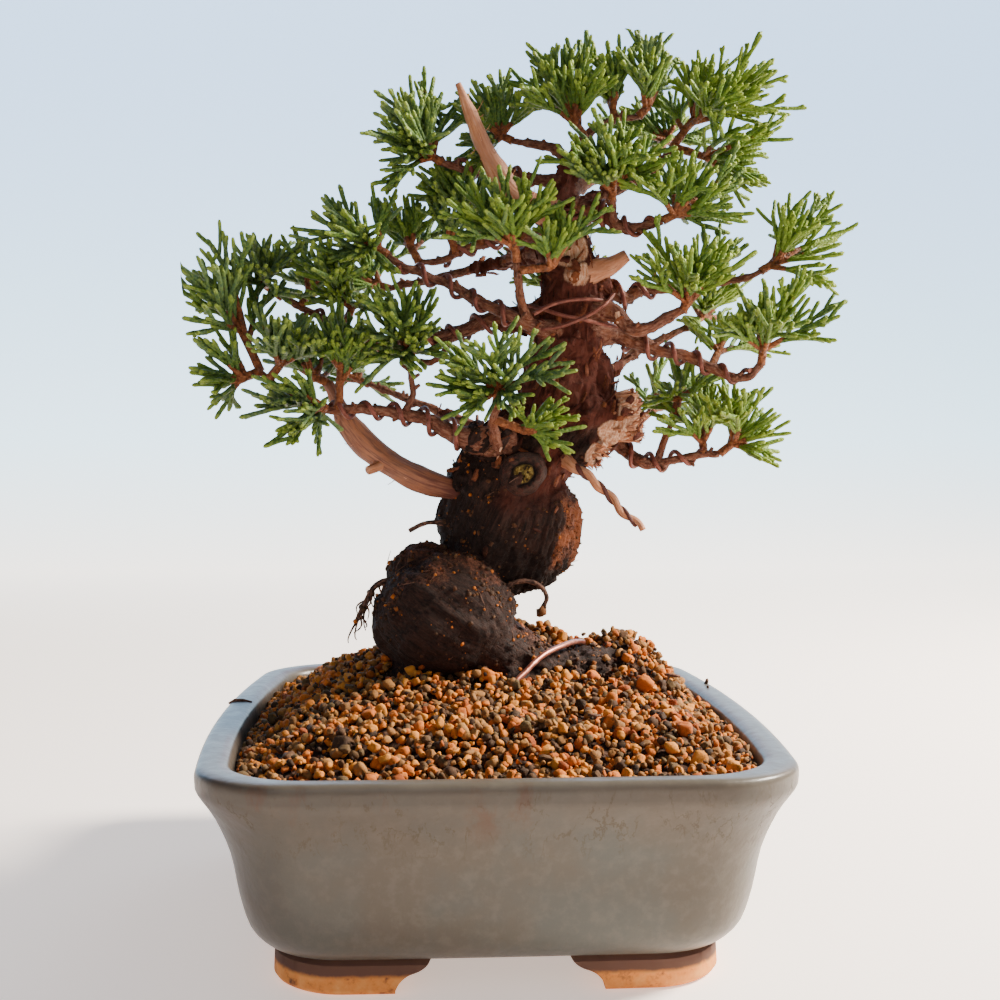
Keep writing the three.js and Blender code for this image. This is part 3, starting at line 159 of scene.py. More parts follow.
# Coils: first and last station on the limb, and the first twenty-fourth of a turn.
COILS = {
    "left_low": (1.6, 8.5, 10),
    "left_mid": (0.9, 9.4, 19),
    "left_high": (1.9, 8.2, 6),
    "left_back": (0.9, 4.5, 15),
    "high_left": (1, 4.4, 3),
    "crown_right": (0.9, 3.3, 2),
    "right_high": (0.9, 3.7, 0),
    "right_mid_back": (1, 3.8, 18),
    "right_low_mid": (1.4, 7.2, 10),
    "right_low": (1.4, 6.3, 15),
}
DEADWOOD = {
    "left_jin": ((-8, -2, 101, 4.2), (-16, -2, 103.5, 3.5), (-25, 0, 108.5, 3.5),
        (-30.5, 1, 113, 3.7), (-34.5, 1, 118, 3.3), (-36.5, 1.5, 122.5, 1.9),
        (-39, 2, 127.5, 1.5)),
    "left_jin_knot": ((-25, -1, 107.5, 2), (-29, -4, 106, 1.4)),
    "top_jin": ((17.5, -2, 168.5, 4.2), (11, -3, 171, 3.1), (5.5, -5, 174.5, 2.7),
        (2, -6, 179.5, 2.4), (-1, -6, 185, 2.1), (-4, -6, 192.5, 1.6), (-7, -6, 199.5, 0.8)),
    "right_jin": ((21.5, -2, 154.5, 5), (25.5, -4, 155, 3.2), (30.5, -5, 156.5, 2.4),
        (34.5, -6, 158, 1.9)),
    "stump": ((22, -1, 116.5, 8), (30, -4, 118.5, 6.6), (37, -6, 119.5, 6)),
    "stump_spike": ((21, -1, 113.5, 7), (28, -5, 109.5, 3.4)),
    "pruning_scar": ((6, -6, 104.5, 3.4), (5.6, -11.5, 105.5, 3)),
    "dry_twig": ((19.5, -4, 108.5, 2.4), (22.5, -8, 106, 1.3), (27.5, -9, 102, 1.1),
        (32.5, -9, 96.5, 1), (38, -9, 91.5, 0.9)),
    "root_arc": ((3, -6, 74, 1.2), (4.5, -8, 77.5, 1), (8.5, -8, 79, 0.9), (12.5, -8, 78, 0.9),
        (14.5, -8, 75, 0.9), (13, -8, 71.5, 0.8)),
    "root_hang": ((-22, -6, 79.5, 1.6), (-27, -7, 78, 1.2), (-29.5, -8, 74, 1.1),
        (-32, -9, 69, 0.8)),
    "root_twig": ((-8, 1, 92.5, 1.6), (-13, 0, 93, 1), (-16, -1, 92.5, 0.9), (-19, -2, 91, 0.8)),
}
# Sprays: the heart, and the tips of the drawn shoots.
SPRAYS = {
    "left_tip": ((-59, -12, 140), ((-65, -13, 159), (-67, -18, 150), (-56, 0, 150),
        (-66, -22, 140), (-64, 0, 148))),
    "left_low_tip": ((-59, -15, 127), ((-65, -20, 134), (-61, -12, 136), (-64, -18, 125),
        (-62, -12, 122))),
    "left_heart": ((-49, -14, 131), ((-52, -18, 139), (-45, -14, 139), (-48, -30, 136),
        (-40, -24, 133))),
    "left_back_heart": ((-43, 0, 129), ((-47, 4, 140), (-39, 12, 139), (-53, 18, 133),
        (-36, 20, 132))),
    "left_skirt": ((-39, -17, 121), ((-48, -26, 125), (-51, -22, 120), (-47, -22, 112),
        (-40, -16, 115), (-43, -30, 116))),
    "left_riser": ((-35, -14, 130), ((-36, -14, 143), (-40, -20, 135), (-28, -20, 135),
        (-33, -4, 141))),
    "mid_left_tip": ((-55, 4, 152), ((-58, 4, 159), (-50, -2, 158), (-60, -6, 152),
        (-50, 16, 160), (-50, -14, 147))),
    "mid_left_heart": ((-44, 8, 151), ((-46, 10, 161), (-39, 14, 160), (-49, 24, 155),
        (-36, 18, 151))),
    "mid_left_reach": ((-33, 0, 146), ((-44, -6, 156), (-39, -10, 148), (-30, -10, 145),
        (-37, -20, 151))),
    "mid_left_tuft": ((-19, -12, 135), ((-26, -16, 144), (-20, -14, 146), (-14, -14, 144),
        (-29, -20, 137), (-27, -18, 129), (-21, -28, 140), (-14, -22, 133))),
    "high_left_tip": ((-28, -8, 160), ((-41, -10, 163), (-37, -8, 168), (-38, -12, 156),
        (-25, -4, 169), (-33, -20, 160), (-26, -14, 154))),
    "high_left_back": ((-19, 8, 163), ((-24, 8, 168), (-17, 6, 170), (-23, 20, 165),
        (-13, 20, 167))),
    "mid_spikes": ((-9, 4, 165), ((-13, 6, 171), (-6, -2, 169), (-3, 16, 166))),
    "jin_side": ((-3, 6, 171), ((-15, 2, 175), (-11, 4, 179), (-3, 10, 180), (-10, 18, 175))),
    "front_crown": ((6, -18, 159), ((-7, -22, 167), (9, -22, 173), (14, -21, 168), (-7, -26, 160),
        (-1, -20, 173), (4, -32, 165))),
    "front_fingers": ((15, -16, 154), ((17, -17, 164), (24, -18, 166), (12, -24, 160))),
    "front_tuft": ((2, -21, 125), ((-9, -26, 132), (10, -27, 135), (14, -27, 128),
        (-10, -27, 124), (1, -34, 133), (-7, -26, 117), (6, -31, 121))),
    "low_spray": ((9, -18, 115), ((16, -22, 119), (16, -20, 112), (10, -27, 117))),
    "high_left_pad": ((-14, -2, 183), ((-26, -8, 186), (-22, -4, 195), (-14, 4, 198),
        (-22, -8, 176), (-9, 10, 196), (-19, -18, 185))),
    "crown_left_pad": ((4, 6, 190), ((-1, 6, 199), (5, 10, 201), (-7, 10, 195), (12, 0, 196),
        (-1, 0, 182), (5, 22, 198))),
    "crown_a": ((22, 0, 192), ((16, 0, 207), (9, -6, 196), (24, 4, 210), (12, 12, 206),
        (27, -8, 198))),
    "crown_b": ((32, 3, 196), ((34, 2, 209), (30, 8, 209), (30, 16, 204))),
    "crown_c": ((41, 3, 197), ((41, 2, 212), (36, -6, 204), (48, 14, 207))),
    "front_high_tuft": ((30, -12, 174), ((24, -16, 185), (33, -17, 185), (17, -18, 179),
        (40, -20, 179), (22, -24, 173), (27, -32, 178))),
    "right_high_pad": ((46, -10, 168), ((58, -12, 167), (49, -14, 176), (61, -6, 177),
        (51, 4, 182), (55, -2, 166), (37, -22, 172))),
    "crown_right_pad": ((54, 10, 196), ((51, 8, 206), (61, 6, 209), (72, 6, 207), (76, 6, 198),
        (46, 16, 202), (71, 24, 207), (57, -10, 196))),
    "crown_right_skirt": ((56, 5, 185), ((72, 2, 189), (67, 0, 179), (59, -10, 187),
        (66, 10, 176), (64, 22, 184))),
    "right_mid_pad": ((49, -11, 147), ((41, -13, 160), (51, -16, 158), (62, -12, 156),
        (36, -18, 150), (59, -2, 161), (45, -30, 151))),
    "right_tip": ((73, 2, 158), ((88, 4, 172), (76, 2, 170), (78, -4, 165), (91, 8, 165),
        (83, -6, 152), (85, 18, 168))),
    "right_low_pad": ((68, -7, 136), ((64, -11, 146), (75, -12, 149), (83, -11, 142),
        (56, -14, 139), (77, 8, 146), (65, -26, 141))),
    "right_inner": ((59, 2, 136), ((65, 6, 142), (54, 6, 141), (71, 12, 137))),
    "right_base_pad": ((64, 5, 113), ((73, 4, 115), (70, 6, 124), (63, 8, 124), (70, 2, 109),
        (61, -10, 119), (69, 20, 118))),
    "right_base_riser": ((50, 8, 125), ((50, 8, 132), (56, 4, 128), (43, 2, 123), (56, 22, 128))),
    "right_base_heart": ((56, 8, 115), ((57, 8, 123), (58, -6, 121), (47, 0, 117), (62, 24, 119))),
    "back_right_pad": ((64, 42, 149), ((73, 40, 156), (65, 36, 160), (59, 54, 158), (77, 56, 148),
        (59, 32, 143))),
    "back_left_pad": ((-29, 40, 157), ((-40, 38, 162), (-32, 44, 168), (-40, 48, 153),
        (-24, 54, 167), (-32, 32, 150))),
    "back_high_pad": ((52, 38, 197), ((58, 36, 207), (44, 44, 206), (65, 48, 200), (51, 58, 199),
        (37, 34, 197))),
    "back_low_pad": ((-34, 46, 131), ((-44, 44, 134), (-39, 52, 141), (-29, 54, 141),
        (-43, 58, 128), (-27, 60, 127))),
    "back_mid_pad": ((22, 44, 157), ((12, 42, 166), (23, 46, 171), (33, 46, 164), (16, 60, 160),
        (31, 62, 159))),
    "back_base_pad": ((51, 38, 124), ((61, 36, 129), (50, 38, 134), (62, 50, 122), (50, 56, 126))),
}

# Pot, as in the solids: half width and depth at the rim, corner radius, bow of the sides.
POT_HALF_WIDTH, POT_HALF_DEPTH = 60.0, 78.0
POT_CORNER, POT_SIDE_BOW, POT_END_BOW = 18.0, 5.7, 0.8
POT_UNDERSIDE, POT_FLOOR = 7.5, 13.0
FOOT_INSET, FOOT_THICKNESS = 18.2, 8.0
DRAIN_RADIUS, DRAIN_OFFSET = 7.0, 32.0
SOIL_EDGE, SOIL_INSET, SOIL_SHOULDER = 44.3, 7.2, 6.5
LUMP_HEIGHT, LUMP_PITCH = 2.3, 11.0
WIRE_RADIUS, WIRE_PITCH, COIL_STARTS, COIL_STEPS = 0.6, 7.0, 24, 22

# The tables have the origin under the middle of the pot; the frame has it under the middle of
# everything. MIDDLE is the pot's place in the frame, in metres.
POT_LOW, POT_HIGH = (Vector(corner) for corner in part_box("pot"))
MIDDLE = Vector(((POT_LOW.x + POT_HIGH.x) / 2, (POT_LOW.y + POT_HIGH.y) / 2, 0))
BOX_LOW, BOX_HIGH = ((np.array(corner) - MIDDLE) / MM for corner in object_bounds())

# ---------------------------------------------------------------- repeatable noise


def chance(seed):
    """A repeatable source of random numbers."""
    return np.random.default_rng(seed)


def lattice(cells, seed):
    """A repeatable number from 0 to 1 for each whole-numbered cell."""
    x, y, z = (cells[..., axis].astype(np.int64) for axis in range(3))
    h = (x * 73856093) ^ (y * 19349663) ^ (z * 83492791) ^ (seed * 2654435761)
    h = ((h ^ (h >> 13)) * 1274126177) & 0xFFFFFFFF
    h = (h ^ (h >> 16)) & 0xFFFFFF
    return h / float(0xFFFFFF)


def cloud(places, seed=0, octaves=1):
    """Smooth noise from -1 to 1 with lumps about one unit across."""
    total, reach = 0.0, 0.0
    for octave in range(octaves):
        p = np.asarray(places, float) * 2.0**octave + 17.3 * octave
        cell = np.floor(p)
        f = p - cell
        f = f * f * (3 - 2 * f)
        value = 0.0
        for corner in range(8):
            step = np.array([corner & 1, corner >> 1 & 1, corner >> 2 & 1])
            share = np.prod(np.where(step, f, 1 - f), axis=-1)
            value = value + share * lattice(cell + step, seed + 31 * octave)
        total = total + (2 * value - 1) * 0.5**octave
        reach += 0.5**octave
    return total / reach


def ridges(places, seed=0, octaves=2):
    """Noise from 0 to 1 with sharp crests."""
    return 1 - np.abs(cloud(places, seed, octaves)) * 1.8


def smoothstep(low, high, value):
    t = np.clip((value - low) / (high - low), 0, 1)
    return t * t * (3 - 2 * t)


def unit(vectors):
    length = np.linalg.norm(vectors, axis=-1, keepdims=True)
    return vectors / np.maximum(length, 1e-9)


# ---------------------------------------------------------------- lines and frames


def round_off(stations, count_between):
    """Stations with a curve through them, and as many steps between two as `count_between` says."""
    s = np.array(stations, float)
    p = np.vstack([2 * s[0] - s[1], s, 2 * s[-1] - s[-2]])
    made = []
    for a, b, c, d in zip(p, p[1:], p[2:], p[3:]):
        square, cube = 2 * a - 5 * b + 4 * c - d, 3 * b - a - 3 * c + d
        count = count_between(b, c)
        for k in range(count):
            t = k / count
            made.append(0.5 * (2 * b + (c - a) * t + square * t * t + cube * t**3))
    return np.array([*made, s[-1]])


def smooth_line(stations, step):
    """Stations of (x, y, z, radius), rounded off, with one about every `step`."""
    made = round_off(stations, lambda b, c: max(1, int(round(np.linalg.norm(c[:3] - b[:3]) / step))))
    made[:, 3] = np.maximum(made[:, 3], 0.25)
    return made


def carried_sides(along):
    """Directions beside a line, carried along it without twist."""
    side = np.array([0.0, 0.0, 1.0]) if abs(along[0][2]) < 0.8 else np.array([1.0, 0.0, 0.0])
    sides = []
    for a in along:
        side = unit(side - a * side.dot(a))
        sides.append(side)
    return np.array(sides)


def line_frames(points):
    """Directions beside and across a line of points."""
    along = unit(np.gradient(np.asarray(points, float), axis=0))
    beside = carried_sides(along)
    return beside, np.cross(along, beside)


def sweep(line, sides, swell=None):
    """Rings of points round a line of (x, y, z, radius), with where each point is: how far along
    in mm, and its two offsets from the line. `swell` changes the radii."""
    line = np.asarray(line, float)
    beside, across = line_frames(line[:, :3])
    far = np.concatenate([[0], np.cumsum(np.linalg.norm(np.diff(line[:, :3], axis=0), axis=1))])
    turn = 2 * np.pi * np.arange(sides) / sides
    cos, sin = np.cos(turn), np.sin(turn)
    radius = np.repeat(line[:, 3:4], sides, axis=1)
    flow = np.stack([np.repeat(far[:, None], sides, axis=1), radius * cos, radius * sin], axis=-1)
    if swell is not None:
        radius = radius + swell(flow, radius)
    points = (
        line[:, None, :3]
        + beside[:, None] * (radius * cos)[..., None]
        + across[:, None] * (radius * sin)[..., None]
    )
    return points, flow


def ring_faces(rings, sides):
    """Quads between rings of points and a fan of triangles over each end's extra middle point."""
    i, j = np.meshgrid(np.arange(rings - 1), np.arange(sides), indexing="ij")
    a, b = i * sides + j, i * sides + (j + 1) % sides
    quads = np.stack([a, b, b + sides, a + sides], axis=-1).reshape(-1, 4)
    j = np.arange(sides)
    start, end = rings * sides, rings * sides + 1
    last = (rings - 1) * sides
    caps = np.concatenate(
        [
            np.stack([np.full(sides, start), (j + 1) % sides, j], axis=-1),
            np.stack([np.full(sides, end), last + j, last + (j + 1) % sides], axis=-1),
        ]
    )
    return quads, caps


class Heap:
    """Points, faces and per-point values that are gathered for one mesh."""

    def __init__(self):
        self.points, self.quads, self.triangles = [], [], []
        self.values = {}
        self.size = 0

    def add(self, points, quads=(), triangles=(), **values):
        points = np.asarray(points, float).reshape(-1, 3)
        self.points.append(points)
        for store, faces in ((self.quads, quads), (self.triangles, triangles)):
            faces = np.asarray(faces, np.int64)
            if faces.size:
                store.append(faces.reshape(-1, faces.shape[-1]) + self.size)
        for name, value in values.items():
            value = np.asarray(value, float)
            if value.ndim == 0:
                value = np.full(len(points), float(value))
            self.values.setdefault(name, []).append(value)
        self.size += len(points)

    def add_tube(self, line, sides, swell=None, **values):
        """Adds a closed tube. A value may be a function of the flow coordinates."""
        points, flow = sweep(line, sides, swell)
        quads, caps = ring_faces(len(points), sides)
        ends = points[0].mean(axis=0), points[-1].mean(axis=0)
        spots = np.concatenate([points.reshape(-1, 3), ends])
        flows = np.concatenate([flow.reshape(-1, 3), [flow[0].mean(0), flow[-1].mean(0)]])
        told = {k: f(flows) if callable(f) else np.full(len(spots), float(f)) for k, f in values.items()}
        self.add(spots, quads, caps, flow=flows, **told)

    def piece(self, name, finish):
        """An object in metres of all that was gathered, with a material."""
        points = np.concatenate(self.points) * MM
        mesh = bpy.data.meshes.new(name)
        faces = [np.concatenate(store) for store in (self.quads, self.triangles) if store]
        corners = np.concatenate([f.ravel() for f in faces])
        sizes = np.concatenate([np.full(len(f), f.shape[1]) for f in faces])
        mesh.vertices.add(len(points))
        mesh.vertices.foreach_set("co", points.ravel())
        mesh.loops.add(len(corners))
        mesh.loops.foreach_set("vertex_index", corners.astype(np.int32))
        mesh.polygons.add(len(sizes))
        starts = np.concatenate([[0], np.cumsum(sizes)[:-1]])
        mesh.polygons.foreach_set("loop_start", starts.astype(np.int32))
        mesh.update(calc_edges=True)
        mesh.validate()
        for key, parts in self.values.items():
            write_values(mesh, key, np.concatenate(parts))
        made = bpy.data.objects.new(name, mesh)
        bpy.context.scene.collection.objects.link(made)
        dress(made, finish)
        return made


def dress(obj, finish):
    """Makes a piece smooth, and gives it a material and no other."""
    obj.data.polygons.foreach_set("use_smooth", np.ones(len(obj.data.polygons), bool))
    obj.data.materials.clear()
    obj.data.materials.append(finish)


def write_values(mesh, name, values):
    """Stores one number or one vector for each point of a mesh."""
    vector = values.ndim == 2
    kind = "FLOAT_VECTOR" if vector else "FLOAT"
    layer = mesh.attributes.get(name) or mesh.attributes.new(name, kind, "POINT")
    layer.data.foreach_set("vector" if vector else "value", values.astype(np.float32).ravel())


def read_points(mesh):
    """A mesh's points in millimetres."""
    flat = np.empty(len(mesh.vertices) * 3)
    mesh.vertices.foreach_get("co", flat)
    return flat.reshape(-1, 3) / MM


def write_points(mesh, points):
    mesh.vertices.foreach_set("co", (points * MM).ravel())
    mesh.update()


def read_normals(mesh):
    flat = np.empty(len(mesh.vertices) * 3, np.float32)
    mesh.vertices.foreach_get("normal", flat)
    return flat.reshape(-1, 3).astype(float)


# ---------------------------------------------------------------- hand tools


def deselect():
    if bpy.context.object and bpy.context.object.mode != "OBJECT":
        bpy.ops.object.mode_set(mode="OBJECT")
    bpy.ops.object.select_all(action="DESELECT")


def pick(*objects):
    """Makes these the selection, the first of them active."""
    deselect()
    for each in objects:
        each.select_set(True)
    bpy.context.view_layer.objects.active = objects[0]


def named(name):
    """Names the object that was just added."""
    made = bpy.context.object
    made.name = made.data.name = name
    return made


def apply_place(obj):
    pick(obj)
    bpy.ops.object.transform_apply(location=True, rotation=True, scale=True)


def finish_with(obj, kind, **settings):
    """Adds a modifier and applies it."""
    pick(obj)
    modifier = obj.modifiers.new(kind.lower(), kind)
    for key, value in settings.items():
        setattr(modifier, key, value)
    bpy.ops.object.modifier_apply(modifier=modifier.name)


def stands_for(obj, slot_name, *nodes):
    """Moves a finished piece to the pot's place, hangs it under the object's root and hides the
    nodes it replaces. `slot_name` is not used."""
    obj.data.transform(Matrix.Translation(MIDDLE))
    obj.data.update()
    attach(obj, "root")
    if nodes:
        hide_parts(*nodes)


def erase(obj):
    bpy.data.objects.remove(obj, do_unlink=True)


# ---------------------------------------------------------------- finishes


class Value:
    """A socket that adds Math nodes when it is reckoned with."""

    def __init__(self, finish, socket):
        self.finish, self.socket = finish, socket

    def reckon(self, operation, *others):
        values = dict(enumerate(others))
        return self.finish.node("ShaderNodeMath", {"operation": operation}, values)

    def __add__(self, other):
        return self.reckon("ADD", self, other)

    def __radd__(self, other):
        return self.reckon("ADD", other, self)

    def __sub__(self, other):
        return self.reckon("SUBTRACT", self, other)

    def __rsub__(self, other):
        return self.reckon("SUBTRACT", other, self)

    def __mul__(self, other):
        return self.reckon("MULTIPLY", self, other)

    def __rmul__(self, other):
        return self.reckon("MULTIPLY", other, self)


class Finish:
    """A material that is being put together. `constants` gives the shader's own constant values."""

    def __init__(self, name, constants):
        self.material = bpy.data.materials.new(name)
        self.material.use_nodes = True
        self.tree = self.material.node_tree
        self.shader = self.tree.nodes["Principled BSDF"]
        for socket, value in constants.items():
            self.shader.inputs[socket].default_value = value

    def node(self, kind, settings=None, values=None, out=None):
        """Adds a node with its settings, then the values or links of its sockets."""
        made = self.tree.nodes.new(kind)
        for key, value in (settings or {}).items():
            if key == "stops":
                stops = made.color_ramp.elements
                while len(stops) < len(value):
                    stops.new(1.0)
                for stop, (place, colour) in zip(stops, value):
                    stop.position, stop.color = place, (*colour, 1.0)
            else:
                setattr(made, key, value)
        for socket, value in (values or {}).items():
            if isinstance(value, Value):
                self.tree.links.new(value.socket, made.inputs[socket])
            elif made.inputs[socket].type == "RGBA":
                made.inputs[socket].default_value = (*value, 1.0)
            else:
                made.inputs[socket].default_value = value
        if out is None:
            out = next(i for i, socket in enumerate(made.outputs) if socket.enabled)
        return Value(self, made.outputs[out])

    def place(self):
        """The place on the object, in metres."""
        return self.node("ShaderNodeTexCoord", out="Object")

    def fine_place(self):
        """The place on the object, in millimetres."""
        return self.stretch(self.place(), (1 / MM,) * 3)

    def mark(self, name, out="Fac"):
        """A value that is stored on the piece's points."""
        return self.node("ShaderNodeAttribute", {"attribute_name": name}, out=out)

    def stretch(self, vector, scale):
        return self.node("ShaderNodeMapping", None, {"Vector": vector, "Scale": scale})

    def noise(self, vector, scale, detail=3.0, rough=0.55):
        values = {"Vector": vector, "Scale": scale, "Detail": detail, "Roughness": rough}
        return self.node("ShaderNodeTexNoise", None, values, out="Fac")

    def cells(self, vector, scale):
        return self.node("ShaderNodeTexVoronoi", None, {"Vector": vector, "Scale": scale}, "Distance")

    def between(self, value, low, high):
        """0 below `low`, 1 above `high`, and smooth between them."""
        settings = {"interpolation_type": "SMOOTHSTEP"}
        return self.node("ShaderNodeMapRange", settings, {0: value, 1: low, 2: high})

    def ramp(self, value, stops):
        return self.node("ShaderNodeValToRGB", {"stops": stops}, {"Fac": value}, out="Color")

    def blend(self, share, first, second):
        return self.node("ShaderNodeMix", {"data_type": "RGBA"}, {0: share, 6: first, 7: second}, out=2)

    def bump(self, height, distance, strength=1.0, under=None):
        """`distance` is in millimetres."""
        values = {"Height": height, "Distance": distance * MM, "Strength": strength}
        if under is not None:
            values["Normal"] = under
        return self.node("ShaderNodeBump", None, values)

    def wear(self, **links):
        """Links values to the shader's sockets, named with _ for a space, and gives the material."""
        for socket, value in links.items():
            self.tree.links.new(value.socket, self.shader.inputs[socket.replace("_", " ")])
        return self.material


def colour_prop(name, description, default):
    return bpy.props.FloatVectorProperty(
        name=name, description=description, default=default, size=3, subtype="COLOR", min=0, max=1
    )


def length_prop(name, description, default):
    return bpy.props.FloatProperty(
        name=name, description=description, default=default, min=0, subtype="DISTANCE", unit="LENGTH"
    )


def count_prop(name, description, default):
    return bpy.props.IntProperty(name=name, description=description, default=default, min=0)


def number_prop(name, description, default):
    return bpy.props.FloatProperty(name=name, description=description, default=default, min=0)


# ---------------------------------------------------------------- pot

# The pot's profile from the foot up to the lip and down inside, as (height, how far in from the
# rim). Its lower side and its feet are a little wider than the solids'.
POT_SIDE = ((7.5, 14.0), (8.6, 12.2), (12.2, 9.7), (19, 7.9), (28, 6.3), (36, 3.4), (41.2, 0.5))
POT_LIP = ((43.2, 0.1), (44.8, 0.06), (45.9, 0.45), (46.42, 1.5), (46.5, 3.2), (46.35, 4.8))
POT_INSIDE = ((45.7, 6.0), (44.0, 6.6), (40.5, 7.1), (35, 10), (20, 15), (13, 20))
POT_SHIFT = 0.013  # keeps the pot's faces off those of its feet, so that the two can be joined
FOOT_SIDE = ((0, 15.1), (0.3, 14.7), (1.2, 14.2), (6.1, 14.4), (8.8, 17.2))
FOOT_GAP = {"end": (14, 21.5), "side": (24, 32)}  # half the opening's width, at its top and foot
ABOVE = 0.05  # how far a cutter reaches past what it cuts


def pot_plan(inset, height, corner_steps=14, side_steps=17):
    """The pot's outline, drawn in from the rim by `inset`, as points at one height."""
    a, b = POT_HALF_WIDTH - inset, POT_HALF_DEPTH - inset
    corner, swell = POT_CORNER - 0.35 * inset, 1 - 0.02 * inset
    ring = []
    for quarter in range(4):
        sx, sy = (1 if quarter in (0, 3) else -1), (1 if quarter < 2 else -1)
        for i in range(corner_steps + 1):
            turn = (quarter + i / corner_steps) * math.pi / 2
            x, y = corner * math.cos(turn), corner * math.sin(turn)
            ring.append((sx * (a - corner) + x, sy * (b - corner) + y))
        for i in range(1, side_steps + 1):
            t = 1 - 2 * i / (side_steps + 1)
            if quarter % 2:
                ring.append((sx * a, sy * (b - corner) * t))
            else:
                ring.append((sx * (a - corner) * t, sy * b))
    x, y = np.array(ring).T
    bow_x = POT_SIDE_BOW * swell * np.maximum(0, 1 - (y / b) ** 2) * (x / a)
    bow_y = POT_END_BOW * swell * np.maximum(0, 1 - (x / a) ** 2) * (y / b)
    return np.stack([x + bow_x, y + bow_y, np.full(len(x), float(height))], axis=-1)


def stack_rings(name, rings):
    """A closed body: a filled circle, extruded ring by ring, each ring moved to its outline."""
    deselect()
    bpy.ops.mesh.primitive_circle_add(vertices=len(rings[0]), radius=1, fill_type="NGON")
    made = named(name)
    bpy.ops.object.mode_set(mode="EDIT")
    bpy.ops.mesh.select_mode(type="VERT")
    shape = bmesh.from_edit_mesh(made.data)
    order = shape.verts.layers.int.new("order")
    shape.verts.ensure_lookup_table()
    for i, corner in enumerate(shape.verts):
        corner[order] = i
    for number, ring in enumerate(rings):
        if number:
            bpy.ops.mesh.select_mode(type="FACE")
            bpy.ops.mesh.extrude_region_move()
        shape = bmesh.from_edit_mesh(made.data)
        order = shape.verts.layers.int["order"]
        for corner in shape.verts:
            if corner.select:
                corner.co = Vector(ring[corner[order]] * MM)
        bmesh.update_edit_mesh(made.data)
    bpy.ops.mesh.select_all(action="SELECT")
    bpy.ops.mesh.normals_make_consistent(inside=False)
    bpy.ops.object.mode_set(mode="OBJECT")
    made.data.attributes.remove(made.data.attributes["order"])
    return made


def arch_cutter(face):
    """A bar with the outline of the opening between two feet, at the pot's ends or its sides."""
    top, ground = FOOT_GAP[face]
    side = [(ground, -1), (ground, 0.8)]
    for knot, bend, end in (
        ((ground, 0.8), (ground - 1, 3.6), (ground - 4, 4.4)),
        ((ground - 4, 4.4), (top + 1, 5.2), (top, POT_UNDERSIDE + ABOVE)),
    ):
        for t in np.linspace(0, 1, 8)[1:]:
            shares = (1 - t) ** 2, 2 * t * (1 - t), t * t
            side.append(
                tuple(shares[0] * k + shares[1] * m + shares[2] * e for k, m, e in zip(knot, bend, end))
            )
    outline = side + [(-x, z) for x, z in reversed(side)]
    rings = []
    for far in (-POT_HALF_DEPTH, POT_HALF_DEPTH):
        ring = [(far, x, z) if face == "side" else (x, far, z) for x, z in outline]
        rings.append(np.array(ring))
    return stack_rings(face + "_arch", rings)


def cut_away(body, *cutters):
    for cutter in cutters:
        finish_with(body, "BOOLEAN", operation="DIFFERENCE", object=cutter, solver="EXACT")
        erase(cutter)


def glaze_finish(sizes):
    """Grey-green glaze with dark drips under the lip, and bare clay at the foot. The lip turns paler
    towards its top as a painted highlight, and the left end darker and warmer as painted shade.
    """
    f = Finish("celadon_glaze", {"IOR": 1.45, "Specular IOR Level": 0.25, "Coat Roughness": 0.2})
    p = f.fine_place()
    height = f.node("ShaderNodeSeparateXYZ", None, {"Vector": p}, out="Z")
    worn = f.mark("worn_lip")
    drift = f.noise(p, 0.045, 4)
    mottle = f.noise(p, 0.35, 5, 0.65)
    speck = f.noise(p, 2.2, 3, 0.7)
    colour = f.blend(f.between(drift, 0.35, 0.65), sizes.glaze, sizes.glaze_cool)
    colour = f.blend(f.between(mottle, 0.42, 0.7) * 0.35, colour, sizes.glaze_pale_and_lip_highlight)
    # painted highlight: the glaze turns paler towards the top of the lip
    colour = f.blend(f.between(height, 43.6, 46.0) * 0.62, colour, sizes.glaze_pale_and_lip_highlight)
    # painted shade: the glaze turns darker and warmer towards the pot's left end
    aside = f.node("ShaderNodeSeparateXYZ", None, {"Vector": p}, out="X")
    colour = f.blend(f.between(aside, -15, -66) * 0.4, colour, sizes.glaze_warm_and_side_shade)
    band = f.between(height, 29.0, 41.5)
    colour = f.blend(band * 0.45, colour, sizes.glaze_warm_and_side_shade)
    # the drips are thin level lines of a noise, broken up
    level = f.noise(f.stretch(p, (1.0, 1.0, 0.36)), 0.16, 5, 0.62)
    vein = f.between(level, 0.474, 0.497) * f.between(level, 0.52, 0.499)
    gap = f.between(f.noise(p, 0.1, 4, 0.7), 0.42, 0.54)
    veins = vein * gap * f.between(height, 26.0, 38.0) * f.between(height, 46.0, 42.5)
    colour = f.blend(veins * 0.72, colour, sizes.drips)
    stain = f.between(f.noise(f.stretch(p, (1.0, 1.0, 0.35)), 0.11, 5, 0.7), 0.56, 0.75) * band
    colour = f.blend(stain * 0.5, colour, sizes.rust)
    lip = worn * f.between(f.noise(p, 0.22, 4, 0.7), 0.3, 0.55)
    colour = f.blend(lip * 0.65, colour, sizes.rust)
    colour = f.blend(f.between(speck, 0.66, 0.74) * 0.5, colour, sizes.rust)
    baked = f.noise(p, 0.3, 5, 0.65)
    clay = f.ramp(baked, ((0.3, sizes.clay_dark), (0.45, sizes.clay), (0.7, sizes.clay_pale)))
    ragged = height + f.noise(p, 0.3, 4, 0.6) * 1.6
    dipped = f.between(ragged, 7.4, 9.4)
    seam = f.between(ragged, 4.0, 5.2)
    colour = f.blend(1 - dipped, colour, f.blend(seam, clay, sizes.clay_dark))
    rough = f.between(mottle, 0.2, 0.9) * 0.14 + 0.34 + (1 - dipped) * 0.4 + veins * 0.2
    grit = f.bump(f.noise(p, 1.4, 4, 0.7), 0.06, 0.5)
    pits = f.bump(f.noise(p, 0.12, 3, 0.5), 0.7, 0.6, grit)
    dents = f.bump(level, 0.3, 0.2, pits)
    return f.wear(Base_Color=colour, Roughness=rough, Coat_Weight=dipped * 0.14, Normal=dents)


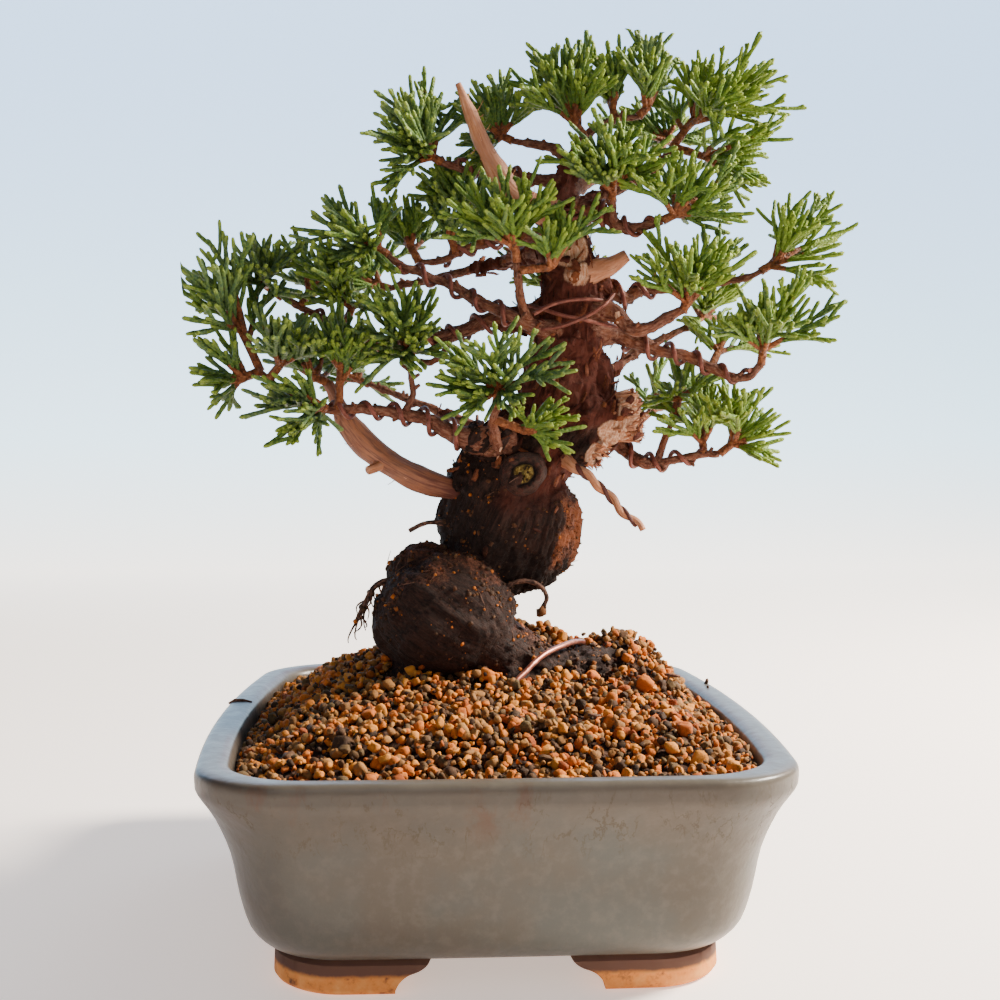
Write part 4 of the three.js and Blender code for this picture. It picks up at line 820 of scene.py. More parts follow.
def make_pot(sizes):
    """The pot and its feet, joined, with two drain holes."""
    profile = round_off(POT_SIDE + POT_LIP + POT_INSIDE, lambda b, c: 3)
    rings = [pot_plan(inset + POT_SHIFT, z + POT_SHIFT) for z, inset in profile]
    rings.insert(0, pot_plan(26, POT_UNDERSIDE))
    rings.append(pot_plan(30, POT_FLOOR))
    body = stack_rings("glazed_pot", rings)
    feet = stack_rings("pot_feet", [pot_plan(inset, z) for z, inset in FOOT_SIDE])
    within = FOOT_INSET + FOOT_THICKNESS
    hollow = stack_rings("hollow", [pot_plan(within, -1), pot_plan(within + 1, POT_UNDERSIDE + ABOVE)])
    cut_away(feet, hollow, arch_cutter("end"), arch_cutter("side"))
    edges = {"limit_method": "ANGLE", "angle_limit": math.radians(50)}
    finish_with(feet, "BEVEL", width=0.35 * MM, segments=2, **edges)
    finish_with(body, "BOOLEAN", operation="UNION", object=feet, solver="EXACT")
    erase(feet)
    if len(body.data.polygons) < 5000:
        raise RuntimeError("the feet did not join the pot")
    for side in (-1, 1):
        deselect()
        middle = (0, side * DRAIN_OFFSET * MM, POT_FLOOR * MM)
        bpy.ops.mesh.primitive_cylinder_add(
            vertices=40, radius=DRAIN_RADIUS * MM, depth=0.02, location=middle
        )
        drain = named("drain")
        apply_place(drain)
        cut_away(body, drain)
    points = read_points(body.data)
    rim = pot_plan(0, 0)[:, :2]
    rim = np.concatenate([rim + (np.roll(rim, -1, axis=0) - rim) * k for k in (0, 0.5)])
    inset = np.array([np.min(np.hypot(*(rim - q).T)) for q in points[:, :2]])
    corner = smoothstep(50, 62, np.abs(points[:, 0])) * smoothstep(58, 70, np.abs(points[:, 1]))
    inner = np.exp(-(((inset - 5.9) / 0.8) ** 2)) * smoothstep(43.5, 45.5, points[:, 2])
    outer = np.exp(-(((inset - 0.7) / 0.9) ** 2)) * smoothstep(44.5, 46, points[:, 2]) * corner
    write_values(body.data, "worn_lip", np.clip(inner + outer * 0.8, 0, 1))
    pick(body)
    bpy.ops.object.shade_smooth_by_angle(angle=math.radians(38))
    body.data.materials.clear()
    body.data.materials.append(glaze_finish(sizes))
    feet_nodes = [f"foot_{end}_{side}" for end in ("front", "back") for side in ("left", "right")]
    stands_for(body, "glaze", "pot", *feet_nodes)


def dress_nets(sizes):
    """Dusty plastic on the drain nets, which keep their own meshes."""
    f = Finish("drain_net", {"IOR": 1.46})
    p = f.fine_place()
    dust = f.between(f.noise(p, 0.6, 4, 0.7), 0.45, 0.7)
    colour = f.blend(dust * 0.6, sizes.net, sizes.net_dust)
    strands = f.noise(p, 3.0, 2)
    f.wear(Base_Color=colour, Roughness=dust * 0.3 + 0.45, Normal=f.bump(strands, 0.08, 0.5))
    for node in ("drain_net_front", "drain_net_back"):
        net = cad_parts[node]
        net.data.materials.clear()
        net.data.materials.append(f.material)


# ---------------------------------------------------------------- soil


EDGE = pot_plan(SOIL_INSET, 0)[:, :2]
EDGE_TURN = np.arctan2(EDGE[:, 1], EDGE[:, 0])
EDGE_ORDER = np.argsort(EDGE_TURN)


def wall_distance(x, y):
    """How far a place on the soil is from the wall, along its ray from the middle."""
    turn = np.arctan2(y, x)
    reach = np.interp(
        turn, EDGE_TURN[EDGE_ORDER], np.hypot(*EDGE[EDGE_ORDER].T), period=2 * np.pi
    )
    return reach - np.hypot(x, y)


def slow_ripple(x, y, z):
    """Waves from -1 to 1, the same as in the solids."""
    broad = np.sin(0.31 * x + 1.3) * np.sin(0.27 * y + 0.4) * np.sin(0.23 * z + 2.1)
    fine = np.sin(0.71 * x - 0.43 * z) * np.sin(0.59 * y + 0.37 * z + 1)
    return 0.6 * broad + 0.4 * fine


def lumps(x, y):
    """Lumps of granules, as in the solid: from -1 in the dips to 1 on top."""
    turn = math.sqrt(2) * math.pi / LUMP_PITCH
    across = np.sin(turn * x + 1.1 * np.sin(0.11 * y + 0.6))
    return across * np.sin(turn * y + 1.1 * np.sin(0.13 * x + 2.2))


def soil_height(x, y):
    """The height of the soil's top: a mound with a shoulder at the wall, heaps and lumps."""
    away = wall_distance(x, y)
    z = SOIL_EDGE + SOIL_SHOULDER * smoothstep(0, 25, away) - 1.6 * smoothstep(20, 55, -x)
    for cx, cy, height, rx, ry in HEAPS:
        bell = np.exp(-(((x - cx) / rx) ** 2) - ((y - cy) / ry) ** 2)
        z = z + smoothstep(0, 14, away) * height * bell
    z = z + 0.5 * LUMP_HEIGHT * smoothstep(0, 9, away) * lumps(x, y)
    return z + 0.9 * slow_ripple(2.1 * x, 2.3 * y, 5) + 0.5 * slow_ripple(5 * x, 5 * y, 3)


def rods_of(lines):
    """Lines of stations as straight rods: starts, ends, radii at both."""
    pairs = [(a, b) for line in lines for a, b in zip(line, line[1:])]
    return np.array([(*a[:3], *b[:3], a[3], b[3]) for a, b in pairs], float)


def off_rod(points, rod):
    """The distance of each point from a rod's surface, negative inside, and its foot on the axis."""
    a, d = rod[:3], rod[3:6] - rod[:3]
    t = np.clip((points - a) @ d / d.dot(d), 0, 1)
    foot = a + t[:, None] * d
    return np.linalg.norm(points - foot, axis=1) - (rod[6] + (rod[7] - rod[6]) * t), foot


def off_burls(points):
    least = np.full(len(points), 1e9)
    for centre, radii, _ in BURLS:
        share = np.linalg.norm((points - centre) / radii, axis=1)
        least = np.minimum(least, (share - 1) * min(radii))
    return least


def off_wood(points):
    """The distance of each point from the wood at the soil, negative inside."""
    rods = rods_of([*ROOTS, TRUNK, DEADWOOD["root_arc"], DEADWOOD["root_hang"]])
    gaps = [off_rod(points, rod)[0] for rod in rods]
    return np.minimum(np.min(gaps, axis=0), off_burls(points))


def soil_finish(sizes):
    """Dark, damp fines that show between the granules."""
    f = Finish("damp_soil", {"IOR": 1.4, "Roughness": 0.95})
    p = f.fine_place()
    crumb = f.cells(p, 0.8)
    colour = f.ramp(f.noise(p, 0.9, 5, 0.7), ((0.3, sizes.soil_dark), (0.7, sizes.soil_brown)))
    height = f.bump(crumb, 1.2, 0.9, f.bump(f.noise(p, 2.0, 5, 0.7), 0.5, 0.8))
    return f.wear(Base_Color=colour, Normal=height)


def grain_finish(sizes, name, colours):
    """Fired and pumice granules: each grain has its own tint, with a dusty, pitted surface."""
    f = Finish(name, {"IOR": 1.45, "Specular IOR Level": 0.3})
    p = f.fine_place()
    steps = [(i / (len(colours) - 1), colour) for i, colour in enumerate(colours)]
    colour = f.ramp(f.mark("tint"), steps)
    blotch = f.noise(p, 1.1, 5, 0.7)
    colour = f.blend(f.between(blotch, 0.5, 0.72) * 0.5, colour, sizes.soil_brown)
    colour = f.blend(f.between(blotch, 0.48, 0.3) * 0.3, colour, sizes.grain_dust)
    pits = f.bump(f.noise(p, 3.2, 4, 0.75), 0.22, 0.8)
    return f.wear(Base_Color=colour, Roughness=blotch * 0.3 + 0.65, Normal=pits)


def lump_shapes(count, seed, cuts=2):
    """Rounded, irregular lumps, modelled once from a cube: their points, and the shared faces."""
    deselect()
    bpy.ops.mesh.primitive_cube_add(size=2)
    lump = named("lump")
    bpy.ops.object.mode_set(mode="EDIT")
    bpy.ops.mesh.select_all(action="SELECT")
    bpy.ops.mesh.subdivide(number_cuts=cuts)
    bpy.ops.transform.tosphere(value=1)
    bpy.ops.object.mode_set(mode="OBJECT")
    points = unit(read_points(lump.data))
    faces = np.array([tuple(face.vertices) for face in lump.data.polygons])
    erase(lump)
    shapes = []
    for i in range(count):
        swell = 1 + 0.4 * cloud(points * 1.1 + 9 * i, seed + i)
        swell = swell + 0.2 * cloud(points * 2.3 + 5 * i, seed - i)
        flat = np.sign(points) * np.abs(points) ** (0.62 + 0.16 * (i % 4))
        shapes.append(flat * swell[:, None])
    return shapes, faces


def random_turns(count, source):
    """Random rotation matrices."""
    q = unit(source.normal(size=(count, 4)))
    w, x, y, z = q.T
    return np.stack(
        [
            np.stack([1 - 2 * (y * y + z * z), 2 * (x * y - z * w), 2 * (x * z + y * w)], -1),
            np.stack([2 * (x * y + z * w), 1 - 2 * (x * x + z * z), 2 * (y * z - x * w)], -1),
            np.stack([2 * (x * z - y * w), 2 * (y * z + x * w), 1 - 2 * (x * x + y * y)], -1),
        ],
        axis=-2,
    )


def strew(heap, places, sizes_mm, shapes, faces, source):
    """Copies of the lumps at the places, each turned and stretched its own way."""
    kinds = source.integers(0, len(shapes), len(places))
    turns = random_turns(len(places), source)
    stretch = source.uniform(0.62, 1.25, (len(places), 3))
    tints = source.uniform(0, 1, len(places))
    for kind, shape in enumerate(shapes):
        mine = np.flatnonzero(kinds == kind)
        if not len(mine):
            continue
        local = shape[None] * (stretch[mine] * sizes_mm[mine, None])[:, None, :]
        points = np.einsum("nij,nkj->nki", turns[mine], local) + places[mine][:, None]
        shifted = faces[None] + (np.arange(len(mine)) * len(shape))[:, None, None]
        tint = np.repeat(tints[mine], len(shape))
        heap.add(points, shifted.reshape(-1, faces.shape[1]), tint=tint)


def grain_places(spacing, source, lift):
    """Places all over the soil, a little in from the wall."""
    xs = np.arange(-66, 66, spacing)
    ys = np.arange(-80, 80, spacing * 0.87)
    gx, gy = np.meshgrid(xs, ys)
    gx = gx + (np.arange(len(ys)) % 2)[:, None] * spacing / 2
    flat = np.stack([gx.ravel(), gy.ravel()], -1) + source.uniform(-0.36, 0.36, (gx.size, 2)) * spacing
    away = wall_distance(flat[:, 0], flat[:, 1])
    flat = flat[away > 0.6]
    z = soil_height(flat[:, 0], flat[:, 1]) + lift + source.uniform(-0.5, 0.7, len(flat))
    return np.column_stack([flat, z])


def crumbs_and_shade_patch(x, y):
    """Where dark crumbs hide the granules: on the front of the ridge. The dark patch is partly painted
    shade.
    """
    off = ((x - 35) / 13) ** 2 + ((y + 8 - 0.1 * (x - 35)) / 4.6) ** 2
    return np.exp(-(off**1.5)) * smoothstep(-0.5, 0.15, cloud(np.stack([x, y, x * 0], -1) * 0.3, 57, 2))


GRANULES = (  # name, up to which share of the draws, and colours
    ("orange", 0.23, ("rust", "orange", "orange")),
    ("amber", 0.47, ("orange", "amber", "amber")),
    ("tan", 0.73, ("ochre", "tan", "pale")),
    ("brown", 1.0, ("black", "brown", "olive")),
)


def make_soil(sizes):
    """The bed of fines, four kinds of granules on it, and dark crumbs."""
    rings = [pot_plan(13, 30), pot_plan(8.2, 40)]
    edge = pot_plan(SOIL_INSET, 0)
    for k in np.linspace(1, 0.02, 44):
        x, y = edge[:, 0] * k, edge[:, 1] * k
        ground = np.stack([x * 1.5, y * 1.5, x * 0], -1)
        z = soil_height(x, y) - 1.3 + 0.5 * cloud(ground / 2, 3, 2)
        if k == 1:
            z = z - 0.6
        rings.append(np.stack([x, y, z], -1))
    bed = stack_rings("soil_bed", rings)
    dress(bed, soil_finish(sizes))
    stands_for(bed, "soil", "soil")

    source = chance(11)
    shapes, faces = lump_shapes(9, 40)
    places = np.vstack([grain_places(sizes.grain_gap / MM, source, 0.0), grain_places(3.1, source, 0.8)])
    size = 0.54 + 0.68 * source.random(len(places)) ** 1.9
    size = size * np.where(source.random(len(places)) < 0.06, 1.4, 1)
    # granules are left out under the dark patch, which is partly painted shade
    scrap = crumbs_and_shade_patch(places[:, 0], places[:, 1])
    keep = (off_wood(places) > size * 0.35) & (source.random(len(places)) > 0.75 * scrap)
    places, size = places[keep], size[keep]
    kinds = source.random(len(places))
    low = 0
    for name, high, colours in GRANULES:
        mine = (kinds >= low) & (kinds < high)
        heap, low = Heap(), high
        strew(heap, places[mine], size[mine], shapes, faces, source)
        colours = [getattr(sizes, "grain_" + colour) for colour in colours]
        finish = grain_finish(sizes, "granules_" + name, colours)
        stands_for(heap.piece("granules_" + name, finish), "soil", "soil")

    # dark crumbs of bark between the granules, thickest on the ridge's front, where they are partly painted
    # shade
    places = grain_places(1.5, source, 0.45)
    scrap = crumbs_and_shade_patch(places[:, 0], places[:, 1])
    places = places[(source.random(len(places)) < 0.1 + 0.9 * scrap) & (off_wood(places) > 0.1)]
    places[:, 2] += source.uniform(-0.3, 0.5, len(places))
    heap = Heap()
    shapes, faces = lump_shapes(4, 80, 1)
    strew(heap, places, source.uniform(0.25, 0.62, len(places)), shapes, faces, source)
    colours = (sizes.soil_dark, sizes.grain_black, sizes.soil_brown)
    stands_for(heap.piece("soil_crumbs", grain_finish(sizes, "soil_crumbs", colours)), "soil", "soil")


# ---------------------------------------------------------------- wood

# Away from their collars the limbs are a little slimmer than the solids' rods.
LIMBS = {
    name: [(x, y, z, r * float(0.78 + 0.22 * smoothstep(2.5, 4.5, r))) for x, y, z, r in line]
    for name, line in LIMBS.items()
}
# The burls as drawn: the lower one sits slightly lower than its solid, and a neck joins the two.
DRAWN_BURLS = (
    ((-10.5, -8, 70.4), (16.8, 15.4, 14.9), 0.06),
    *BURLS[1:],
    ((1, 2, 84), (11.5, 11, 10), 0.14),
)
# The jins as drawn: they start deeper in the wood than the solids' do.
LEFT_JIN = ((0, 4, 97.5, 2), (-7, 1, 100.8, 2.9), *DEADWOOD["left_jin"][1:])
RIGHT_JIN = (
    (19, 2, 152, 4), (23.5, -2, 154, 3.7), (27, -3.8, 155, 2.7), (31, -5, 156.4, 2),
    (34.5, -6, 158.4, 1.4),
)
# Grains that hang on the rootlets, as place and radius.
STUCK_GRAINS = (
    ((-30.2, -8.6, 72.6), 1.1), ((-32, -9.4, 69.6), 0.8), ((-28.2, -7.4, 76.2), 0.9),
    ((-31.2, -8.8, 71), 0.7), ((13.2, -8, 71.4), 1.0), ((14, -8.4, 72.6), 0.7),
)
# A scrap of bark over the lip's left side, as inset, y, z and radius.
LIP_SCRAP = (
    (0.0, 15.5, 45.9, 0.28), (1.5, 14.2, 46.75, 0.42), (3.4, 14.6, 46.8, 0.36),
    (5.4, 13, 46.35, 0.22),
)
# How many small pieces lie on the wood and the soil.
BURL_CRUMBS, ROOT_HAIRS, BARK_SCRAPS = 2200, 90, 34
JIN_HAIRS, HANGING_HAIRS, STUMP_SPLINTERS, SPIKE_SPLINTERS = 34, 22, 150, 70
# Where the fibres of the trunk's foot run: the lower burl, then the upper one.
BURL_GRAIN = (
    ((-25, -4, 82, 7), (-17, -6, 78, 12), (-7, -8, 71, 15), (6, -8, 62, 11)),
    ((2, 5, 76, 8), (4, 6, 86, 15), (7, 6, 96, 15), (9, 5, 106, 11)),
)
# Places where the bark is off, as (x, y, z), reach and how bare.
BARE_SPOTS = (
    ((20.5, -5, 160), 5.5, 0.62),
    ((22, -6, 154), 4.0, 0.5),
    ((20.5, -6, 104), 2.6, 0.9),
    ((37.5, -6.5, 119.5), 8.0, 1.0),
    ((31, -8, 115), 4.6, 0.75),
    ((28, -6, 109), 4.6, 0.95),
)


def along_line(points, line):
    """Each point's gap to a line of (x, y, z, radius), and its flow coordinates round that line."""
    line = np.asarray(line, float)
    beside, across = line_frames(line[:, :3])
    step = np.diff(line[:, :3], axis=0)
    far = np.concatenate([[0], np.cumsum(np.linalg.norm(step, axis=1))])
    gap = np.full(len(points), 1e9)
    flow = np.zeros((len(points), 3))
    for i, d in enumerate(step):
        t = np.clip((points - line[i, :3]) @ d / d.dot(d), 0, 1)
        off = points - line[i, :3] - t[:, None] * d
        mine = np.linalg.norm(off, axis=1) - (line[i, 3] + (line[i + 1, 3] - line[i, 3]) * t)
        here = mine < gap
        gap = np.where(here, mine, gap)
        side = off @ unit(beside[i] + beside[i + 1])
        cross = off @ unit(across[i] + across[i + 1])
        told = np.stack([far[i] + t * np.linalg.norm(d), side, cross], -1)
        flow[here] = told[here]
    return gap, flow


def shaggy(flow, seed):
    """Torn plates of bark with ragged edges, over lumps."""
    bent = flow + 1.6 * np.stack([cloud(flow * 0.35, seed + k, 2) for k in (7, 8, 9)], -1)
    plates = smoothstep(-0.05, 0.05, cloud(bent * (0.13, 0.3, 0.3), seed, 3))
    torn = smoothstep(0.1, 0.2, cloud(bent * (0.24, 0.5, 0.5), seed + 4, 3))
    fibres = ridges(bent * (0.35, 1.2, 1.2), seed + 1, 3)
    lumps_wide = cloud(flow * (0.16, 0.22, 0.22), seed + 2, 2)
    return 0.8 * plates + 0.6 * torn - 0.75 + 0.4 * (fibres - 0.5) + 1.0 * lumps_wide


def knotty(flow, seed):
    """A dark burl: coarse fibres over lumps."""
    bent = flow + 1.8 * np.stack([cloud(flow * 0.3, seed + k, 2) for k in (7, 8, 9)], -1)
    fibres = ridges(bent * (0.4, 0.9, 0.9), seed, 3)
    crumbs = cloud(flow * 0.9, seed + 6, 2)
    broad = 1.5 * cloud(flow * 0.17, seed + 3, 2) + 0.7 * ridges(flow * (0.25, 0.4, 0.4), seed + 11, 2)
    return 1.1 * (fibres - 0.55) + broad - 0.3 + 0.75 * crumbs


def silky(flow, seed):
    """A smooth burl: fine fibres and a few pimples."""
    bent = flow + 2.2 * np.stack([cloud(flow * 0.16, seed + k, 2) for k in (7, 8, 9)], -1)
    fibres = ridges(bent * (0.12, 0.42, 0.42), seed, 3)
    pimples = smoothstep(0.5, 0.8, cloud(flow * 0.45, seed + 5))
    grit = smoothstep(0.1, 0.6, cloud(flow * 0.12, seed + 9)) * cloud(flow * 1.1, seed + 8, 2)
    folds = ridges(bent * (0.05, 0.17, 0.17), seed + 13, 2)
    made = 0.5 * (fibres - 0.5) + 0.5 * pimples + 1.5 * cloud(flow * 0.12, seed + 4, 2)
    return made + 1.1 * (folds - 0.5) + 0.35 * grit


def bark_finish(sizes):
    """Bark of the trunk and burls. `dark`, `bare` and `rust` are stored on the points. `dark` also
    carries painted shade, and `rust` also carries painted light on the upper burl's right side.
    """
    f = Finish("juniper_bark", {"IOR": 1.45, "Specular IOR Level": 0.22})
    flow = f.mark("flow", "Vector")
    p = f.fine_place()
    dark, bare, rust = f.mark("dark"), f.mark("bare"), f.mark("rust")
    fibre = f.noise(f.stretch(flow, (0.22, 1.0, 1.0)), 1.5, 6, 0.7)
    broad = f.noise(f.stretch(flow, (0.35, 1.0, 1.0)), 0.28, 4, 0.6)
    fleck = f.noise(p, 1.4, 5, 0.75)
    plates = ((0.3, sizes.bark_deep), (0.5, sizes.bark_red), (0.62, sizes.bark_brown))
    colour = f.ramp(fibre, (*plates, (0.8, sizes.bark_dusty)))
    colour = f.blend(f.between(broad, 0.5, 0.7) * 0.5, colour, sizes.bark_dusty)
    night = f.ramp(fibre, ((0.35, sizes.burl_black), (0.68, sizes.burl_brown), (0.85, sizes.burl_dusty)))
    night = f.blend(f.between(fleck, 0.62, 0.75) * 0.45, night, sizes.bark_brown)
    night = f.blend(f.between(dark, 0.84, 0.96) * 0.7, night, sizes.burl_black)
    # painted shade: the dark mark darkens the trunk's left and lower side, besides the burls' own darkness
    colour = f.blend(f.between(dark + (broad - 0.5) * 0.5, 0.25, 0.75), colour, night)
    rusty = f.ramp(fleck, ((0.3, sizes.bark_deep), (0.5, sizes.bark_rust), (0.75, sizes.bark_dusty)))
    # the rust mark is partly painted light on the upper burl's right side, and partly rusty flakes
    colour = f.blend(f.between(rust + (fleck - 0.5) * 1.1 + (broad - 0.5) * 0.5, 0.3, 0.8), colour, rusty)
    grain = f.noise(f.stretch(flow, (0.1, 1.0, 1.0)), 2.4, 5, 0.65)
    torn = ((0.22, sizes.bark_rust), (0.34, sizes.wood_orange), (0.46, sizes.wood_tan))
    raw = f.ramp(grain, (*torn, (0.62, sizes.wood_cream)))
    colour = f.blend(f.between(bare + (broad - 0.5) * 0.6 + (fleck - 0.5) * 0.3, 0.4, 0.62), colour, raw)
    rough = 0.86 - f.between(fleck, 0.4, 0.6) * dark * 0.25
    tiny = f.bump(fleck, 0.5, 0.8)
    return f.wear(Base_Color=colour, Roughness=rough, Normal=f.bump(fibre, 0.55, 0.7, tiny))


def ball_of(centre, radii, rough):
    """A burl as a ball with ripples."""
    deselect()
    bpy.ops.mesh.primitive_ico_sphere_add(subdivisions=5, radius=1)
    ball = named("burl")
    points = read_points(ball.data) * MM
    spots = 9 * points + np.array(centre)
    swell = 1 + rough * slow_ripple(*spots.T)
    write_points(ball.data, np.array(centre) + points * (np.array(radii) * swell[:, None]))
    return ball


def join_trunk(sizes):
    """The trunk, ridge root, burls, collars and stubs, grown together under one skin."""
    finish = bark_finish(sizes)
    heap = Heap()

    def fluted(flow, radius):
        turn = np.arctan2(flow[..., 2], flow[..., 1])
        return -radius * 0.08 * (0.5 + 0.5 * np.sin(3 * turn + 0.12 * flow[..., 0]))

    heap.add_tube(smooth_line(TRUNK, 1.5), 28, fluted)
    heap.add_tube(smooth_line(ROOTS[0], 1.5), 20, fluted)
    for root in ROOTS[1:]:
        heap.add_tube(smooth_line(root[:2], 1.5), 20, fluted)
    for line in LIMBS.values():
        if line[0][3] > 2.9:
            collar = [*line[:2], tuple(np.mean([line[1], line[2]], axis=0))]
            heap.add_tube(smooth_line(collar, 1.2), 16)
    for part in ("stump", "stump_spike", "pruning_scar"):
        heap.add_tube(smooth_line(DEADWOOD[part], 1.2), 20, fluted)
    heap.add_tube(smooth_line(DEADWOOD["right_jin"][:2], 1.2), 16)
    heap.add_tube(smooth_line(DEADWOOD["top_jin"][:2], 1.2), 16)
    trunk = heap.piece("trunk", finish)
    pick(trunk, *[ball_of(*burl) for burl in DRAWN_BURLS])
    bpy.ops.object.join()
    finish_with(trunk, "REMESH", mode="VOXEL", voxel_size=sizes.bark_step, use_smooth_shade=True)
    finish_with(trunk, "SMOOTH", factor=0.5, iterations=6)
    return trunk


def raise_bark(trunk, points, normals):
    """Raises the bark. Gives each point's share of each kind of bark, and its flow."""
    grains = [TRUNK, ROOTS[0], *BURL_GRAIN]
    made = [along_line(points, smooth_line(line, 2.0)) for line in grains]
    gaps = np.array([gap for gap, _ in made])
    share = np.exp(-(gaps - gaps.min(axis=0)) / 1.6)
    share /= share.sum(axis=0)
    kinds = (shaggy, knotty, silky, knotty)
    each = enumerate(zip(share, kinds, made))
    rise = sum(w * kind(flow, 60 + 7 * i) for i, (w, kind, (_, flow)) in each)
    below = smoothstep(48, 58, points[:, 2])
    end = np.exp(-((np.linalg.norm(points - (36, -6.5, 119.5), axis=1) / 7) ** 4))
    broken = 1.5 * cloud(points * (0.2, 0.9, 0.9), 91, 3)
    broken = broken + 0.8 * ridges(points * (0.2, 1.2, 1.2), 92, 2) - 0.6
    rise = rise + end * broken
    write_points(trunk.data, points + normals * (rise * (0.4 + 0.6 * below))[:, None])
    nearest = gaps.argmin(axis=0)
    return share, np.stack([flow for _, flow in made])[nearest, np.arange(len(points))]


def make_trunk(sizes):
    """The trunk with its bark, and how dark, rusty and bare it is stored on its points. The darkness
    holds painted shade on the trunk's left and lower side, and the rust holds painted light on the
    upper burl's right side.
    """
    trunk = join_trunk(sizes)
    points, normals = read_points(trunk.data), read_normals(trunk.data)
    share, flow = raise_bark(trunk, points, normals)
    side = normals[:, 0]
    burl_low, burl_high, ridge = share[2], share[3], share[1]
    # painted shade: the trunk's left part low down, and the lower trunk's faces that turn to the left, are
    # made darker
    left_shade = smoothstep(2, -10, points[:, 0] - 12) * smoothstep(128, 112, points[:, 2])
    dark = np.clip(burl_high * 1.0 + burl_low * 0.8 + ridge * 0.85 + share[0] * left_shade * 0.9, 0, 1)
    low_trunk = share[0] * smoothstep(121, 112, points[:, 2])
    dark = np.maximum(dark, low_trunk * smoothstep(0.5, -0.2, side) * 0.9)
    wander = cloud(points * 0.16, 97, 3)
    # painted light: the upper burl's faces that turn to the right, and its right part, are made lighter and
    # redder through the rust mark; the lower burl's upward faces get a little of the same colour
    rust = burl_high * smoothstep(0.3, 1.0, side + 0.5 * wander)
    rust = rust * smoothstep(76, 90, points[:, 2] + 6 * wander)
    rust = np.maximum(rust, burl_high * 0.6 * smoothstep(12, 21, points[:, 0] + 6 * wander))
    rust = np.maximum(rust, burl_low * 0.45 * smoothstep(0.2, 0.9, normals[:, 2] + 0.6 * wander))
    worn = np.linalg.norm((points - (4, -10, 98)) * (0.9, 0.5, 0.7), axis=1) / 3.8
    dark = dark - 0.4 * np.exp(-(worn**2))
    bare = np.zeros(len(points))
    for centre, reach, strength in BARE_SPOTS:
        off = np.linalg.norm(points - centre, axis=1) / reach
        bare = np.maximum(bare, strength * smoothstep(1.25, 0.6, off))
    for name, values in (("dark", dark), ("rust", rust), ("bare", bare), ("flow", flow)):
        write_values(trunk.data, name, values)
    return trunk


def scar_finish(sizes):
    """A healed cut: a yellowish heart with cracks, a dark rim and a brown swelling."""
    f = Finish("pruning_scar", {"IOR": 1.45, "Specular IOR Level": 0.3})
    p = f.fine_place()
    wander = f.noise(p, 0.9, 4, 0.65)
    ring = f.mark("ring") + (wander - 0.5) * 1.2
    heart = f.ramp(wander, ((0.38, sizes.burl_black), (0.47, sizes.scar_heart), (0.66, sizes.scar_pale)))
    swelling = f.ramp(wander, ((0.3, sizes.burl_black), (0.5, sizes.burl_brown), (0.75, sizes.bark_brown)))
    colour = f.blend(f.between(ring, 1.9, 2.5), heart, sizes.burl_black)
    colour = f.blend(f.between(ring, 2.6, 3.4), colour, swelling)
    return f.wear(Base_Color=colour, Roughness=wander * 0.2 + 0.7, Normal=f.bump(wander, 1.4, 0.9))


def make_scar(points, sizes):
    """The scar on the front of the upper burl, set on the bark's surface."""
    near = points[np.hypot(points[:, 0] - 8.6, points[:, 2] - 105.2) < 2.2]
    middle = np.array([8.6, near[:, 1].min() + 1.0, 105.2])
    heart = [(0.05, 0.1), (1.0, -0.1), (1.9, 0.1), (2.4, -0.6), (2.7, -0.3), (3.0, 0.2)]
    swelling = [(3.4, 0.4), (3.8, 0.2), (4.2, -0.3), (4.6, -1.1), (5.0, -2.1), (5.4, -3.4)]
    profile = heart + swelling
    turn = 2 * np.pi * np.arange(48) / 48
    rings = []
    for radius, out in profile:
        wobble = 1 + 0.1 * np.sin(2 * turn + 1) + 0.04 * np.sin(3 * turn) + 0.02 * np.sin(7 * turn + 2)
        bumps = 0.7 * cloud(np.stack([turn * 0 + radius, 3 * np.cos(turn), 3 * np.sin(turn)], -1), 17, 2)
        x, z = radius * wobble * np.cos(turn), 1.1 * radius * wobble * np.sin(turn)
        rings.append(np.stack([x, -out - bumps, z], -1))
    rings = np.array(rings)[::-1] + middle
    quads, caps = ring_faces(len(rings), 48)
    spots = np.concatenate([rings.reshape(-1, 3), [middle + (0, 2.5, 0), rings[-1].mean(axis=0)]])
    heap = Heap()
    marks = [*np.repeat([radius for radius, _ in profile][::-1], 48), 6, 0]
    heap.add(spots, quads, caps, ring=marks)
    made = heap.piece("pruning_scar", scar_finish(sizes))
    pick(made)
    bpy.ops.object.mode_set(mode="EDIT")
    bpy.ops.mesh.select_all(action="SELECT")
    bpy.ops.mesh.normals_make_consistent(inside=False)
    bpy.ops.object.mode_set(mode="OBJECT")
    stands_for(made, "bark", "trunk_and_limbs")


def on_lip(x, y, inset, z):
    """The place on the pot's lip nearest to x and y, `inset` in from its edge."""
    ring = pot_plan(inset, z)
    return ring[np.argmin(np.hypot(ring[:, 0] - x, ring[:, 1] - y))]


